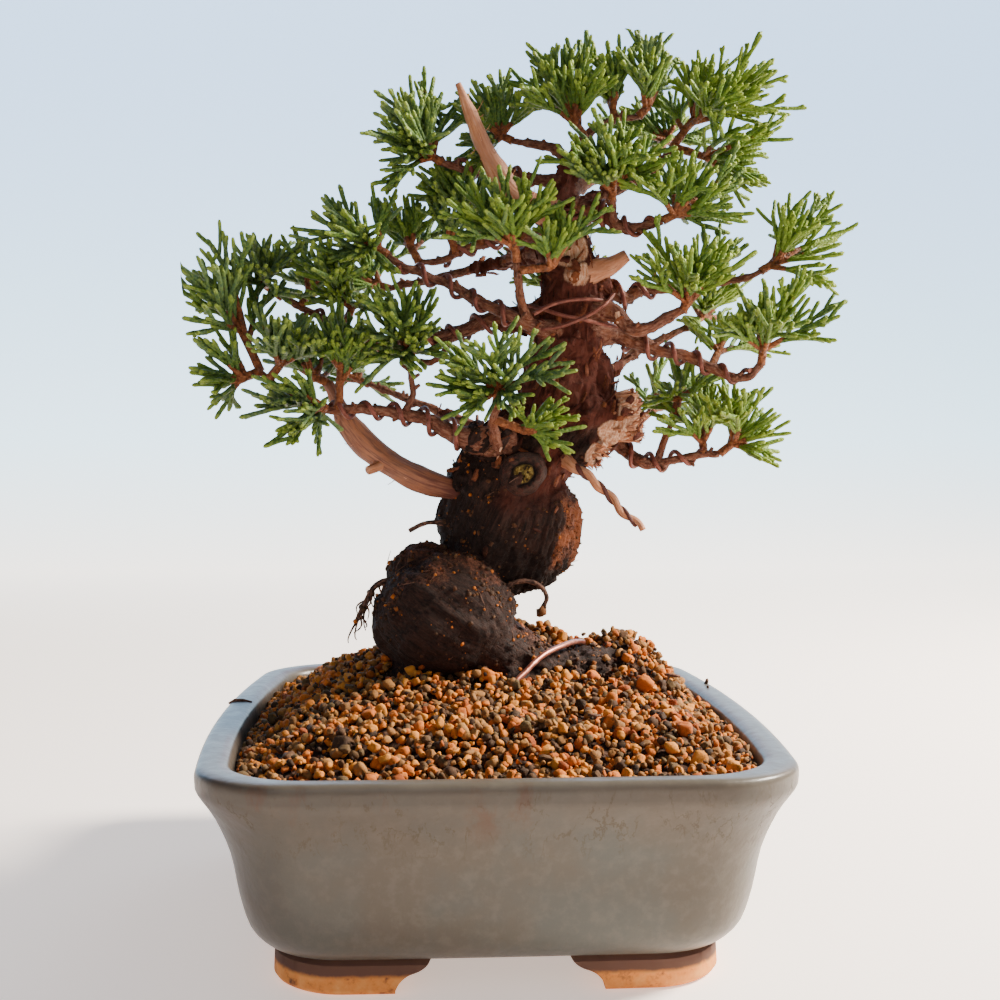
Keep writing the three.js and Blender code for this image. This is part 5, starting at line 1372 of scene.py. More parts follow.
def make_crumbs(points, normals, dark, sizes):
    """Crumbs of soil and bark that stick to the burls, with root hairs and scraps of bark."""
    source = chance(41)
    shapes, faces = lump_shapes(5, 70, 1)
    weight = smoothstep(0.45, 0.8, dark) * (0.25 + np.clip(normals[:, 2] + 0.3, 0, 1))
    weight = weight * smoothstep(56, 60, points[:, 2])
    weight *= smoothstep(-0.1, 0.5, cloud(points * 0.22, 44, 2)) + 0.15
    chosen = source.choice(len(points), BURL_CRUMBS, p=weight / weight.sum())
    heap = Heap()
    sizes_mm = 0.14 + 0.42 * source.random(len(chosen)) ** 3
    strew(heap, points[chosen] + normals[chosen] * 0.05, sizes_mm, shapes, faces, source)
    on_pot = ((on_lip(66, 31, 1.6, 47.0), 0.9), (on_lip(64, 28, 3.0, 46.8), 0.5))
    places, radii = zip(*STUCK_GRAINS, *on_pot)
    strew(heap, np.array(places), np.array(radii), shapes, faces, source)
    soil = bpy.context.scene.bonsai_soil
    crumbs = (*(soil.grain_black, soil.soil_brown) * 2, soil.grain_brown, soil.grain_orange)
    stands_for(heap.piece("burl_crumbs", grain_finish(soil, "crumbs", crumbs)), "soil", "trunk_and_limbs")
    finish = twig_finish(sizes, "hair_bark", sizes.burl_black, sizes.burl_dusty)
    first = chosen[:ROOT_HAIRS]
    make_root_hairs(points[first], normals[first], finish, source)
    make_bark_scraps(finish, source)


def make_root_hairs(points, normals, finish, source):
    """Fine root hairs that lie on the burls."""
    hairs = Heap()
    for spot, out in zip(points, normals):
        way = unit(np.cross(out, source.normal(size=3)))
        long, swing = source.uniform(1.5, 5), source.normal(0, 0.8)
        side = np.cross(out, way)
        line = []
        for t in np.linspace(0, 1, 5):
            drop = -0.05 * (long * t) ** 2 * 0.5
            place = spot + way * long * t + side * swing * t * t + out * (drop + 0.15)
            line.append((*place, 0.11 - 0.05 * t))
        hairs.add_tube(line, 4)
    stands_for(hairs.piece("root_hairs", finish), "bark", "trunk_and_limbs")


def make_bark_scraps(finish, source):
    """Scraps of bark on the pot's lip and on the soil."""
    scraps = Heap()
    scraps.add_tube([(*on_lip(-70, y, inset, z), thick) for inset, y, z, thick in LIP_SCRAP], 7)
    for _ in range(BARK_SCRAPS):
        x, y = source.uniform(-46, 50), source.uniform(-58, 50)
        spot = np.array([x, y, float(soil_height(np.array([x]), np.array([y]))[0]) + 1.0])
        way = unit(source.normal(size=3) * (1, 1, 0.25))
        long, thick = source.uniform(1.5, 4), source.uniform(0.25, 0.6)
        steps = (0, 0.3, 0.7, 1)
        line = [(*(spot + way * long * t), thick * (1 - 0.4 * abs(2 * t - 1))) for t in steps]
        scraps.add_tube(line, 6)
    stands_for(scraps.piece("bark_scraps", finish), "bark", "soil")


def make_flakes(trunk, sizes):
    """Loose strips of bark that lift off the trunk and the upper burl."""
    source = chance(23)
    points, normals = read_points(trunk.data), read_normals(trunk.data)
    dark = np.empty(len(points), np.float32)
    trunk.data.attributes["dark"].data.foreach_get("value", dark)
    flaky = smoothstep(100, 110, points[:, 2]) * smoothstep(176, 165, points[:, 2]) + 0.9 * np.exp(
        -(((points - (20, 2, 92)) / (5, 12, 14)) ** 2).sum(axis=1)
    )
    flaky = flaky * (1 - 0.6 * dark) + 0.1 * smoothstep(76, 84, points[:, 2])
    chosen = source.choice(len(points), sizes.flakes, replace=False, p=flaky / flaky.sum())
    heap = Heap()
    outline = np.array([(-1, 0), (-1, 1), (1, 1), (1, 0)])
    for spot, out, bark in zip(points[chosen], normals[chosen], dark[chosen]):
        long = unit(np.array([0.1, 0.0, 1.0]) + source.normal(0, 0.6, 3))
        long = unit(long - out * long.dot(out))
        wide = np.cross(out, long)
        length, width = source.uniform(1.0, 4.2), source.uniform(0.25, 1.1)
        lift, curl = source.uniform(0.2, 1.1), source.uniform(-0.2, 0.7)
        rings = []
        for t in np.linspace(0, 1, 5):
            middle = spot + long * length * (t - 0.4) + out * (lift * t * t + 0.05)
            half = width * (0.45 + 0.55 * math.sin(math.pi * min(0.9, 0.25 + t * 0.7)))
            ring = []
            for across, up in outline:
                cup = curl * half * across * across
                aside = wide * across * half * source.uniform(0.6, 1.1)
                ring.append(middle + aside + out * (0.14 * up + cup))
            rings.append(ring)
        quads, caps = ring_faces(5, 4)
        ends = [np.mean(rings[0], 0), np.mean(rings[-1], 0)]
        spots = np.concatenate([np.array(rings).reshape(-1, 3), ends])
        along, beside = (spots - spot) @ long + source.uniform(0, 90), (spots - spot) @ wide
        flow = np.column_stack([along, beside, np.zeros(len(spots))])
        marks = {"bare": 0.8 * source.random() ** 9, "rust": source.uniform(0.0, 0.8)}
        # the flakes take on the trunk's darkness, painted shade included
        heap.add(spots, quads, caps, flow=flow, dark=bark * 0.7, **marks)
    make_scar(points, sizes)
    make_crumbs(points, normals, dark, sizes)
    made = heap.piece("bark_flakes", trunk.data.materials[0])
    stands_for(trunk, "bark", "trunk_and_limbs")
    stands_for(made, "bark", "trunk_and_limbs")


def twig_finish(sizes, name, deep, middle):
    """Thin, scaly bark, with torn papery shreds."""
    f = Finish(name, {"IOR": 1.45, "Specular IOR Level": 0.3})
    flow = f.mark("flow", "Vector")
    p = f.fine_place()
    scales = f.cells(f.stretch(flow, (0.6, 1.0, 1.0)), 0.9)
    shred = f.noise(f.stretch(flow, (0.45, 1.0, 1.0)), 1.6, 5, 0.7)
    colour = f.ramp(shred, ((0.3, deep), (0.48, middle), (0.62, sizes.limb_brown), (0.82, sizes.bark_dusty)))
    colour = f.blend(f.between(f.noise(p, 0.25, 3), 0.5, 0.7) * 0.4, colour, sizes.bark_rust)
    bump = f.bump(scales, 0.5, 0.7, f.bump(shred, 0.4, 0.8))
    return f.wear(Base_Color=colour, Roughness=shred * 0.3 + 0.55, Normal=bump)


def make_limbs(sizes):
    """The living limbs, knotty and scaly, with short spurs."""
    source = chance(5)
    heap = Heap()
    for number, line in enumerate(LIMBS.values()):
        seed = 200 + number

        def scaly(flow, radius, seed=seed):
            bumps = 0.24 * cloud(flow * (0.6, 0.8, 0.8), seed, 3)
            bumps = bumps + 0.22 * ridges(flow * (0.7, 0.5, 0.5), seed + 50, 2) - 0.3
            knots = 0.5 * smoothstep(0.3, 0.8, cloud(flow * 0.4, seed + 90))
            return (bumps + knots) * np.minimum(1, radius / 1.4)

        wavy = smooth_line(line, 0.55)
        wavy[:, :3] += 0.3 * np.stack([cloud(wavy[:, :3] * 0.3, seed + i) for i in range(3)], -1)
        heap.add_tube(wavy, 14, scaly)
        for _ in range(int(len(wavy) / 8)):
            at = source.integers(len(wavy) // 5, len(wavy) - 1)
            heading = unit(np.array([source.normal(), source.normal(), source.normal() * 0.7 + 0.3]))
            ahead = unit(wavy[min(at + 1, len(wavy) - 1), :3] - wavy[at - 1, :3])
            heading = unit(heading - ahead * heading.dot(ahead) + 0.5 * ahead)
            root = wavy[at, :3] + heading * wavy[at, 3] * 0.5
            reach = wavy[at, 3] * 0.5 + source.uniform(0.6, 2.0)
            spur = [(*(root + heading * reach * t), 0.62 - 0.22 * t) for t in (0, 0.5, 0.85, 1)]
            heap.add_tube(spur, 6)
    made = heap.piece("limbs", twig_finish(sizes, "limb_bark", sizes.bark_deep, sizes.limb_red))
    stands_for(made, "bark", "trunk_and_limbs")


def deadwood_finish(sizes):
    """Bare, weathered wood with long grain."""
    f = Finish("bare_wood", {"IOR": 1.45, "Specular IOR Level": 0.4})
    flow = f.mark("flow", "Vector")
    p = f.fine_place()
    grain = f.noise(f.stretch(flow, (0.07, 1.0, 1.0)), 1.9, 5, 0.65)
    patch = f.noise(p, 0.16, 4, 0.6)
    age = f.mark("age")
    fresh = ((0.28, sizes.wood_dark), (0.45, sizes.wood_orange), (0.62, sizes.wood_tan))
    colour = f.ramp(grain, (*fresh, (0.82, sizes.wood_cream)))
    colour = f.blend(f.between(patch, 0.42, 0.62) * 0.6, colour, sizes.wood_red)
    colour = f.blend(f.between(age + (grain - 0.5) * 0.7, 0.35, 0.75), colour, sizes.bark_brown)
    crack = 1 - f.between(f.noise(f.stretch(flow, (0.05, 1.0, 1.0)), 1.2, 3, 0.5), 0.3, 0.38)
    colour = f.blend(crack * 0.55, colour, sizes.bark_deep)
    bump = f.bump(grain, 0.4, 0.7)
    return f.wear(Base_Color=colour, Roughness=grain * 0.25 + 0.5, Normal=bump)


def add_splinters(heap, line, count, source):
    """Torn fibres on a broken stub: some along its side, most at its end."""
    end, before = np.array(line[-1][:3], float), np.array(line[-2][:3], float)
    axis, reach = unit(end - before), line[-1][3]
    for k in range(count):
        out = unit(np.cross(axis, source.normal(size=3)))
        lying = k % 3 == 0
        far = reach * (0.97 if lying else 0.97 * math.sqrt(source.random()))
        back = source.uniform(1.5, 6) if lying else source.uniform(0.2, 1.5)
        foot = end - axis * back + out * far
        way = unit(axis + source.normal(0, 0.1 if lying else 0.3, 3) + out * (0.02 if lying else 0.15))
        long = back + source.uniform(-0.8, 0.5) if lying else source.uniform(0.8, 2.4)
        thick = source.uniform(0.25, 0.7)
        bend = out * source.uniform(-0.3, 0.6)
        steps = (0, 0.35, 0.7, 1)
        sliver = [(*(foot + way * long * t + bend * t * t), thick * (1 - 0.85 * t)) for t in steps]
        heap.add_tube(sliver, 5, age=source.choice([-0.5, -0.2, 0.0, 0.3, 0.5]))


def make_deadwood(sizes):
    """The bare jins, the dry twig and the splinters, and then the rootlets."""
    source = chance(31)
    heap = Heap()

    def grooved(flow, radius):
        grain = 0.34 * (ridges(flow * (0.08, 0.8, 0.8), 70, 2) - 0.5)
        return grain + 0.45 * cloud(flow * (0.2, 0.35, 0.35), 71, 2)

    jin = smooth_line(LEFT_JIN, 0.8)
    jin[:, 3] *= 0.85
    heap.add_tube(jin, 24, grooved, age=lambda flow: 0.56 + 0.15 * smoothstep(24, 6, flow[:, 0]))
    knot = smooth_line(DEADWOOD["left_jin_knot"], 0.6)
    knot[:, 3] *= 0.72
    heap.add_tube(knot, 12, grooved, age=0.4)
    top = smooth_line(DEADWOOD["top_jin"], 0.7)
    top[:, 3] *= 1 - 0.1 * smoothstep(0.6, 1, np.linspace(0, 1, len(top)))
    heap.add_tube(top, 18, grooved, age=lambda flow: 0.1 + 0.4 * smoothstep(14, 4, flow[:, 0]))
    right = smooth_line(RIGHT_JIN, 0.7)
    heap.add_tube(right, 20, grooved, age=lambda flow: 0.05 + 0.35 * smoothstep(8, 3, flow[:, 0]))
    # the dry twig is two strands wound round each other
    twig = smooth_line(DEADWOOD["dry_twig"], 0.6)
    beside, across = line_frames(twig[:, :3])
    length = len(twig)
    for strand in (0, 1):
        turn = np.linspace(0, 3.2 * 2 * np.pi, length) + strand * np.pi
        spread = 0.55 * smoothstep(0, 0.25, np.linspace(0, 1, length))
        wound = twig.copy()
        out = beside * np.cos(turn)[:, None] + across * np.sin(turn)[:, None]
        wound[:, :3] += spread[:, None] * out
        wound[:, 3] = twig[:, 3] * (0.5 if strand else 0.9)
        heap.add_tube(wound[: length - 3 * strand], 10, age=0.9 * strand - 0.1)
    for _ in range(JIN_HAIRS):
        line = jin if source.random() < 0.6 else top
        at = source.integers(6, len(line) - 2)
        out = unit(source.normal(size=3))
        start = line[at, :3] + out * line[at, 3] * 0.95
        reach = source.uniform(1.2, 3.0)
        steps = (0, 0.4, 0.75, 1)
        hair = [(*(start + out * reach * t + (0, 0, 0.5 * t * t)), 0.11 - 0.05 * t) for t in steps]
        heap.add_tube(hair, 4, age=0.3)
    for way, count in (("stump", STUMP_SPLINTERS), ("stump_spike", SPIKE_SPLINTERS)):
        add_splinters(heap, DEADWOOD[way], count, source)
    made = heap.piece("dead_wood", deadwood_finish(sizes))
    stands_for(made, "bark", "trunk_and_limbs")
    make_rootlets(sizes, source)


def make_rootlets(sizes, source):
    """Thin roots that stand out of the burls, one of them with hanging hairs."""
    roots = Heap()
    for part in ("root_arc", "root_hang", "root_twig"):
        fine = smooth_line(DEADWOOD[part], 0.6)
        fine[:, 3] *= 0.66
        roots.add_tube(fine, 9, lambda flow, radius: 0.2 * cloud(flow * 0.9, 77, 2))
    held = smooth_line(DEADWOOD["root_hang"], 0.6)[4:, :3]
    for _ in range(HANGING_HAIRS):
        start = held[source.integers(len(held))]
        aside, ahead = source.uniform(-2.5, 1.5), source.uniform(-1.5, 1.5)
        droop = np.array([aside, ahead, -source.uniform(1.5, 7)])
        bend = source.normal(0, 0.8, 3)
        steps = np.linspace(0, 1, 7)
        hair = [(*(start + droop * t + bend * math.sin(3 * t)), 0.3 - 0.18 * t) for t in steps]
        roots.add_tube(hair, 5)
    made = roots.piece("rootlets", twig_finish(sizes, "rootlet_bark", sizes.burl_black, sizes.burl_brown))
    stands_for(made, "bark", "trunk_and_limbs")


# ---------------------------------------------------------------- wires


def wire_finish(sizes, new=False):
    """Scratched, anodised wire, or new copper."""
    f = Finish("new_copper_wire" if new else "anodised_wire", {"IOR": 1.45, "Specular IOR Level": 0.35})
    p = f.fine_place()
    age = f.noise(p, 0.5, 4, 0.6)
    scratch = f.noise(f.stretch(p, (1.0, 1.0, 4.0)), 1.6, 3, 0.6)
    metals = (sizes.wire_dark, sizes.wire, sizes.wire_bright, sizes.wire_new)
    colour = f.ramp(age, tuple(zip((0.3, 0.55, 0.8), metals[1:] if new else metals)))
    worn = f.between(scratch, 0.6, 0.75)
    return f.wear(
        Base_Color=f.blend(worn * 0.4, colour, sizes.wire_bright),
        Metallic=age * 0.3 + (0.6 if new else 0.15),
        Roughness=age * 0.25 + (0.25 if new else 0.38),
        Normal=f.bump(scratch, 0.05, 0.4),
    )


def coil_points(line, wired, first):
    """A wire's path round a limb, as the solids have it, with finer steps."""
    line = np.array(line, float)
    before = np.vstack([line[:1, :3], line[:-1, :3]])
    after = np.vstack([line[1:, :3], line[-1:, :3]])
    along = unit(after - before)
    beside = carried_sides(along)
    t, turn, made = wired[0], 2 * math.pi * first / COIL_STARTS, []
    while t < wired[1]:
        i = min(int(t), len(line) - 2)
        f = t - i
        ahead = unit(along[i] * (1 - f) + along[i + 1] * f)
        side = beside[i] * (1 - f) + beside[i + 1] * f
        side = unit(side - ahead * side.dot(ahead))
        other = np.cross(ahead, side)
        loose = 0.05 + 0.2 * math.sin(1.3 * t + first)
        reach = line[i, 3] * (1 - f) + line[i + 1, 3] * f + WIRE_RADIUS + loose
        middle = line[i, :3] * (1 - f) + line[i + 1, :3] * f
        made.append(middle + reach * (side * math.cos(turn) + other * math.sin(turn)))
        t += WIRE_PITCH / COIL_STEPS / np.linalg.norm(line[i + 1, :3] - line[i, :3])
        turn += 2 * math.pi / COIL_STEPS
    return np.array(made)


def bend_wire(name, points, finish, *nodes, radius=WIRE_RADIUS):
    """A round wire along a path, with closed ends."""
    curve = bpy.data.curves.new(name, "CURVE")
    curve.dimensions = "3D"
    curve.bevel_depth = radius * MM
    curve.bevel_resolution = 3
    curve.use_fill_caps = True
    spline = curve.splines.new("POLY")
    spline.points.add(len(points) - 1)
    spline.points.foreach_set("co", np.column_stack([points * MM, np.ones(len(points))]).ravel())
    made = bpy.data.objects.new(name, curve)
    bpy.context.scene.collection.objects.link(made)
    pick(made)
    bpy.ops.object.convert(target="MESH")
    made = bpy.context.object
    made.name = made.data.name = name
    dress(made, finish)
    stands_for(made, "wire", *nodes)


def round_path(stations, step=0.5):
    return smooth_line([(*s[:3], 1.0) for s in stations], step)[:, :3]


# Strands that lie across the front of the trunk between the coils, each with the coil it joins.
CROSSINGS = {
    "strand_over": ("left_high", ((11, -10.5, 143.5), (15, -9.3, 145.8), (20, -8.6, 147.2),
        (26, -7.0, 147.6), (29.6, -3.2, 147.3), (31.2, 1.5, 146.8))),
    "strand_middle": ("left_mid", ((9.5, -3.4, 146.6), (13, -6.6, 145.4), (18, -8.3, 143.6),
        (24, -8.4, 142.4), (29, -5.4, 141.6), (32.6, -2.6, 141.4))),
    "strand_under": ("left_mid", ((8, -3.6, 141.2), (12.2, -7.2, 140.2), (18, -8.9, 140.9),
        (24.5, -8.6, 143.6), (29, -6.4, 146.6), (31.4, -3.2, 149.3))),
}


def wrap_leader():
    """A wire wound closely round the top of the trunk."""
    line = smooth_line(TRUNK[8:12], 0.2)
    beside, across = line_frames(line[:, :3])
    share = np.linspace(0, 1, 150)
    at = (len(line) * (0.42 + 0.3 * share)).astype(int)
    turn = 2 * math.pi * (4.6 * share + 0.15)
    reach = line[at, 3] * 1.06 + 0.75 + 0.35 * np.sin(5 * share)
    out = beside[at] * np.cos(turn)[:, None] + across[at] * np.sin(turn)[:, None]
    return line[at, :3] + reach[:, None] * out


def make_wires(sizes):
    finish = wire_finish(sizes)
    bend_wire("strand_wrap", wrap_leader(), finish, "wire_crown_right", radius=0.45)
    for limb, (start, end, first) in COILS.items():
        node = "wire_" + limb
        bend_wire("coil_" + limb, coil_points(LIMBS[limb], (start, end), first), finish, node)
    for name, (limb, path) in CROSSINGS.items():
        bend_wire(name, round_path(path), finish, "wire_" + limb, radius=0.5)
    tie = [(x, y, z - 1.4 - 1.2 * float(smoothstep(16, 24, x))) for x, y, z in TIE_WIRE]
    bend_wire("tie", round_path(tie), wire_finish(sizes, True), "tie_wire", radius=0.7)


# ---------------------------------------------------------------- foliage


class Shoots:
    """Many thin curved rods of one make, turned into points all at once."""

    def __init__(self):
        self.rows = []

    def add(self, start, bend, end, radius, end_radius, age, end_age, tint):
        self.rows.append((*start, *bend, *end, radius, end_radius, age, end_age, tint))

    def into(self, heap, rings, sides, source, scales=0.1):
        if not self.rows:
            return
        rows = np.array(self.rows)
        start, bend, end = rows[:, 0:3], rows[:, 3:6], rows[:, 6:9]
        t = np.concatenate([np.linspace(0, 0.93, rings - 1), [1.0]])
        wide = np.concatenate([np.ones(rings - 3), [1.0, 0.96, 0.62]])
        s = t[None, :, None]
        centre = on_arc(start[:, None], bend[:, None], end[:, None], s)
        ahead = unit(2 * (bend - start)[:, None] * (1 - s) + 2 * (end - bend)[:, None] * s)
        beside = unit(np.cross(ahead, unit(source.normal(size=(len(rows), 3)))[:, None]))
        across = np.cross(ahead, beside)
        turn = 2 * np.pi * np.arange(sides) / sides
        radius = (rows[:, 9:10] * (1 - t) + rows[:, 10:11] * t) * wide
        rank = np.cos(2 * turn[None, None] + np.pi * (np.arange(rings) % 2)[None, :, None])
        radius = radius[..., None] * (1 + scales * rank)
        points = (
            centre[:, :, None]
            + beside[:, :, None] * (radius * np.cos(turn))[..., None]
            + across[:, :, None] * (radius * np.sin(turn))[..., None]
        )
        count = len(rows)
        foot = centre[:, :1]
        head = centre[:, -1:] + ahead[:, -1:] * (rows[:, 10] * 0.45)[:, None, None]
        points = np.concatenate([points.reshape(count, -1, 3), foot, head], axis=1)
        age = rows[:, 11:12] * (1 - t) + rows[:, 12:13] * t
        age = np.concatenate([np.repeat(age, sides, axis=1), age[:, :1], age[:, -1:]], axis=1)
        quads, caps = ring_faces(rings, sides)
        each = np.arange(count)[:, None, None] * points.shape[1]
        points = np.clip(points, BOX_LOW + 0.05, BOX_HIGH - 0.05)
        heap.add(
            points,
            (quads[None] + each).reshape(-1, 4),
            (caps[None] + each).reshape(-1, 3),
            age=age.ravel(),
            tint=np.repeat(rows[:, 13], points.shape[1]),
        )


def arc(start, end, lift=0.12):
    """The middle point of a shoot that turns up a little."""
    reach = np.linalg.norm(end - start)
    return (start + end) / 2 + np.array([0, 0, lift * reach])


def on_arc(start, bend, end, t):
    return start * (1 - t) ** 2 + 2 * bend * t * (1 - t) + end * t * t


def heading_on(start, bend, end, t):
    return unit(2 * (bend - start) * (1 - t) + 2 * (end - bend) * t)


def turned(ahead, side, lean):
    return ahead * math.cos(lean) + side * math.sin(lean)


def fingers_on(shoots, start, bend, end, first, spacing, long, fan, source, tint, forks=0.4):
    """Side fingers along a shoot, by turns to its left and right, some of them forked."""
    length = np.linalg.norm(end - start)
    t, hand = first, 1 if source.random() < 0.5 else -1
    while t < 0.985:
        root = on_arc(start, bend, end, t)
        ahead = heading_on(start, bend, end, t)
        flat = unit(fan - ahead * fan.dot(ahead))
        across = np.cross(ahead, flat)
        out = unit(across * hand + flat * source.normal(0.15, 0.5))
        lean = source.uniform(0.3, 0.6)
        way = unit(turned(ahead, out, lean) + np.array([0, 0, 0.14]))
        reach = long * source.uniform(0.7, 1.2) * (1.05 - 0.5 * max(0, t - 0.3))
        tip = root + way * reach
        middle = root + unit(way + out * 0.16) * reach * 0.5
        radius = source.uniform(0.48, 0.62)
        hue = np.clip(tint + source.normal(0, 0.12), 0, 1)
        base_age = 0.62 if source.random() < 0.04 else source.uniform(0.25, 0.36)
        shoots.add(root, middle, tip, radius, radius * 0.94, base_age, 0.0, hue)
        for k in range(2):
            if source.random() < forks * (1 - 0.35 * k) and reach > 4:
                at = source.uniform(0.4, 0.8)
                spot = on_arc(root, middle, tip, at)
                aim = heading_on(root, middle, tip, at)
                away = np.cross(aim, fan) * (1 if source.random() < 0.5 else -1)
                swing = unit(away + source.normal(0, 0.4, 3))
                short = reach * source.uniform(0.22, 0.4)
                fork = spot + unit(turned(aim, swing, source.uniform(0.35, 0.6))) * short
                shoots.add(spot, (spot + fork) / 2, fork, radius * 0.94, radius * 0.88, 0.16, 0.0, hue)
        hand = -hand
        t += spacing * source.uniform(0.75, 1.3) / length


def grow_shoot(wood, shoots, heart, tip, spacing, source, tint, full):
    """A shoot from a spray's heart: woody at first, then green, with fingers and side shoots."""
    length = np.linalg.norm(tip - heart)
    up = np.array([0, 0, 1.0]) + source.normal(0, 0.45, 3)
    bend = arc(heart, tip) + unit(np.cross(tip - heart, up)) * length * source.normal(0, 0.07)
    fan = unit(up)
    woody = source.uniform(0.3, 0.45)
    knee = on_arc(heart, bend, tip, woody)
    wood.add(heart, on_arc(heart, bend, tip, woody / 2), knee, 0.82, 0.68, 1.0, 0.66, tint)
    late = on_arc(heart, bend, tip, (1 + woody) / 2)
    shoots.add(knee, late, tip, 0.66, 0.56, 0.5, 0.0, tint)
    fingers_on(shoots, heart, bend, tip, source.uniform(0.12, 0.26), spacing, 9.4, fan, source, tint)
    for side in range(full):
        t = source.uniform(0.22, 0.62)
        root = on_arc(heart, bend, tip, t)
        ahead = heading_on(heart, bend, tip, t)
        across = unit(np.cross(ahead, fan)) * (1 if side % 2 else -1)
        way = unit(turned(ahead, unit(across + fan * source.normal(0.1, 0.5)), source.uniform(0.4, 0.7)))
        reach = min(length * source.uniform(0.45, 0.65), 13)
        end = root + way * reach
        middle = arc(root, end, 0.08)
        shoots.add(root, middle, end, 0.64, 0.54, 0.5, 0.0, tint)
        tilted = unit(fan + source.normal(0, 0.3, 3))
        fingers_on(shoots, root, middle, end, 0.2, spacing, 6.8, tilted, source, tint, 0.3)


def nearest_wood(heart, rods):
    """The nearest place on the limbs' middle lines."""
    gaps, spots = zip(*(off_rod(heart[None], rod) for rod in rods))
    return spots[np.argmin(np.concatenate(gaps))][0]


def foliage_finish(sizes):
    """Scale leaves: fresh pale tips, green shafts, and rusty twigs. The greens run by the `tint` mark
    from a bluish shaded green to a lit green, painted shade and light as well as each shoot's own tone.
    """
    f = Finish("scale_leaves", {"IOR": 1.45, "Specular IOR Level": 0.22})
    p = f.fine_place()
    age, tint = f.mark("age"), f.mark("tint")
    patch = f.noise(p, 0.8, 3, 0.6)
    scales = f.cells(p, 1.35)
    # the tint ramp holds painted shade in its bluish and deep greens and painted light in its light green
    green = f.ramp(
        tint + (patch - 0.5) * 0.5,
        ((0.1, sizes.leaf_blue), (0.4, sizes.leaf_deep), (0.62, sizes.leaf), (0.9, sizes.leaf_light)),
    )
    tip = f.between(age + (patch - 0.5) * 0.12, 0.1, 0.0)
    colour = f.blend(tip * 0.5, green, sizes.leaf_tip)
    edge = f.between(scales, 0.3, 0.7)
    colour = f.blend(edge * 0.2, colour, sizes.leaf_tip)
    twig = f.ramp(patch, ((0.3, sizes.twig_dark), (0.5, sizes.twig_rust), (0.72, sizes.twig_orange)))
    colour = f.blend(f.between(age + (patch - 0.5) * 0.25, 0.5, 0.66), colour, twig)
    bump = f.bump(scales, 0.45, 0.75, f.bump(patch, 0.2, 0.4))
    return f.wear(Base_Color=colour, Roughness=patch * 0.25 + 0.4, Normal=bump)


def make_foliage(sizes):
    """Each spray: a stalk from the nearest wood, and shoots from its heart to the drawn tips."""
    finish = foliage_finish(sizes)
    rods = rods_of([*LIMBS.values(), TRUNK, *[DEADWOOD[k] for k in ("left_jin", "top_jin")]])
    spacing = sizes.finger_gap / MM
    for number, (name, (heart, tips)) in enumerate(SPRAYS.items()):
        source = chance(500 + number)
        heart = np.array(heart, float)
        tips = np.array(tips, float)
        stalk, wood, shoots = Shoots(), Shoots(), Shoots()
        root = nearest_wood(heart, rods)
        stalk.add(root, arc(root, heart, 0.05), heart, 1.15, 1.0, 1.0, 1.0, 0.5)
        # painted light and shade: sprays further to the right get the lighter greens, and those to the left
        # the darker, bluer ones; the rest of the tint is random
        tint_and_side_light = 0.5 + 0.0035 * heart[0] + source.uniform(-0.14, 0.14)
        middle = arc(root, heart, 0.05)
        spread = min(0.5, 5 / max(np.linalg.norm(heart - root), 1e-3))
        for tip in tips:
            start = on_arc(root, middle, heart, 1 - spread * source.random() ** 1.5)
            grow_shoot(wood, shoots, start, tip, spacing, source, tint_and_side_light + source.normal(0, 0.1), 2)
        extra = int(round(len(tips) * sizes.fullness * (2.2 if heart[2] > 165 else 1)))
        for _ in range(extra):
            first, second = source.choice(len(tips), 2, replace=False)
            mix = source.uniform(0.3, 0.7)
            way = unit(unit(tips[first] - heart) * mix + unit(tips[second] - heart) * (1 - mix))
            reach = 0.86 * np.linalg.norm(np.stack([tips[first], tips[second]]) - heart, axis=1).mean()
            tip = heart + way * reach * source.uniform(0.7, 1.0)
            grow_shoot(wood, shoots, heart, tip, spacing, source, tint_and_side_light + source.normal(0, 0.12), 1)
        heap = Heap()
        stalk.into(heap, 8, 8, source, 0.05)
        wood.into(heap, 7, 7, source, 0.08)
        shoots.into(heap, sizes.finger_rings, 6, source)
        made = heap.piece("foliage_" + name, finish)
        stands_for(made, "foliage", "spray_" + name)


# ---------------------------------------------------------------- stage


# The camera at the photograph's angle: its place in metres from the pot's middle, how far it
# turns right and down in radians, and its lens in millimetres.
CAMERA_PLACE, CAMERA_YAW, CAMERA_PITCH, CAMERA_LENS = (-0.0162, -0.3346, 0.1088), 0.059, 0.0307, 48.456


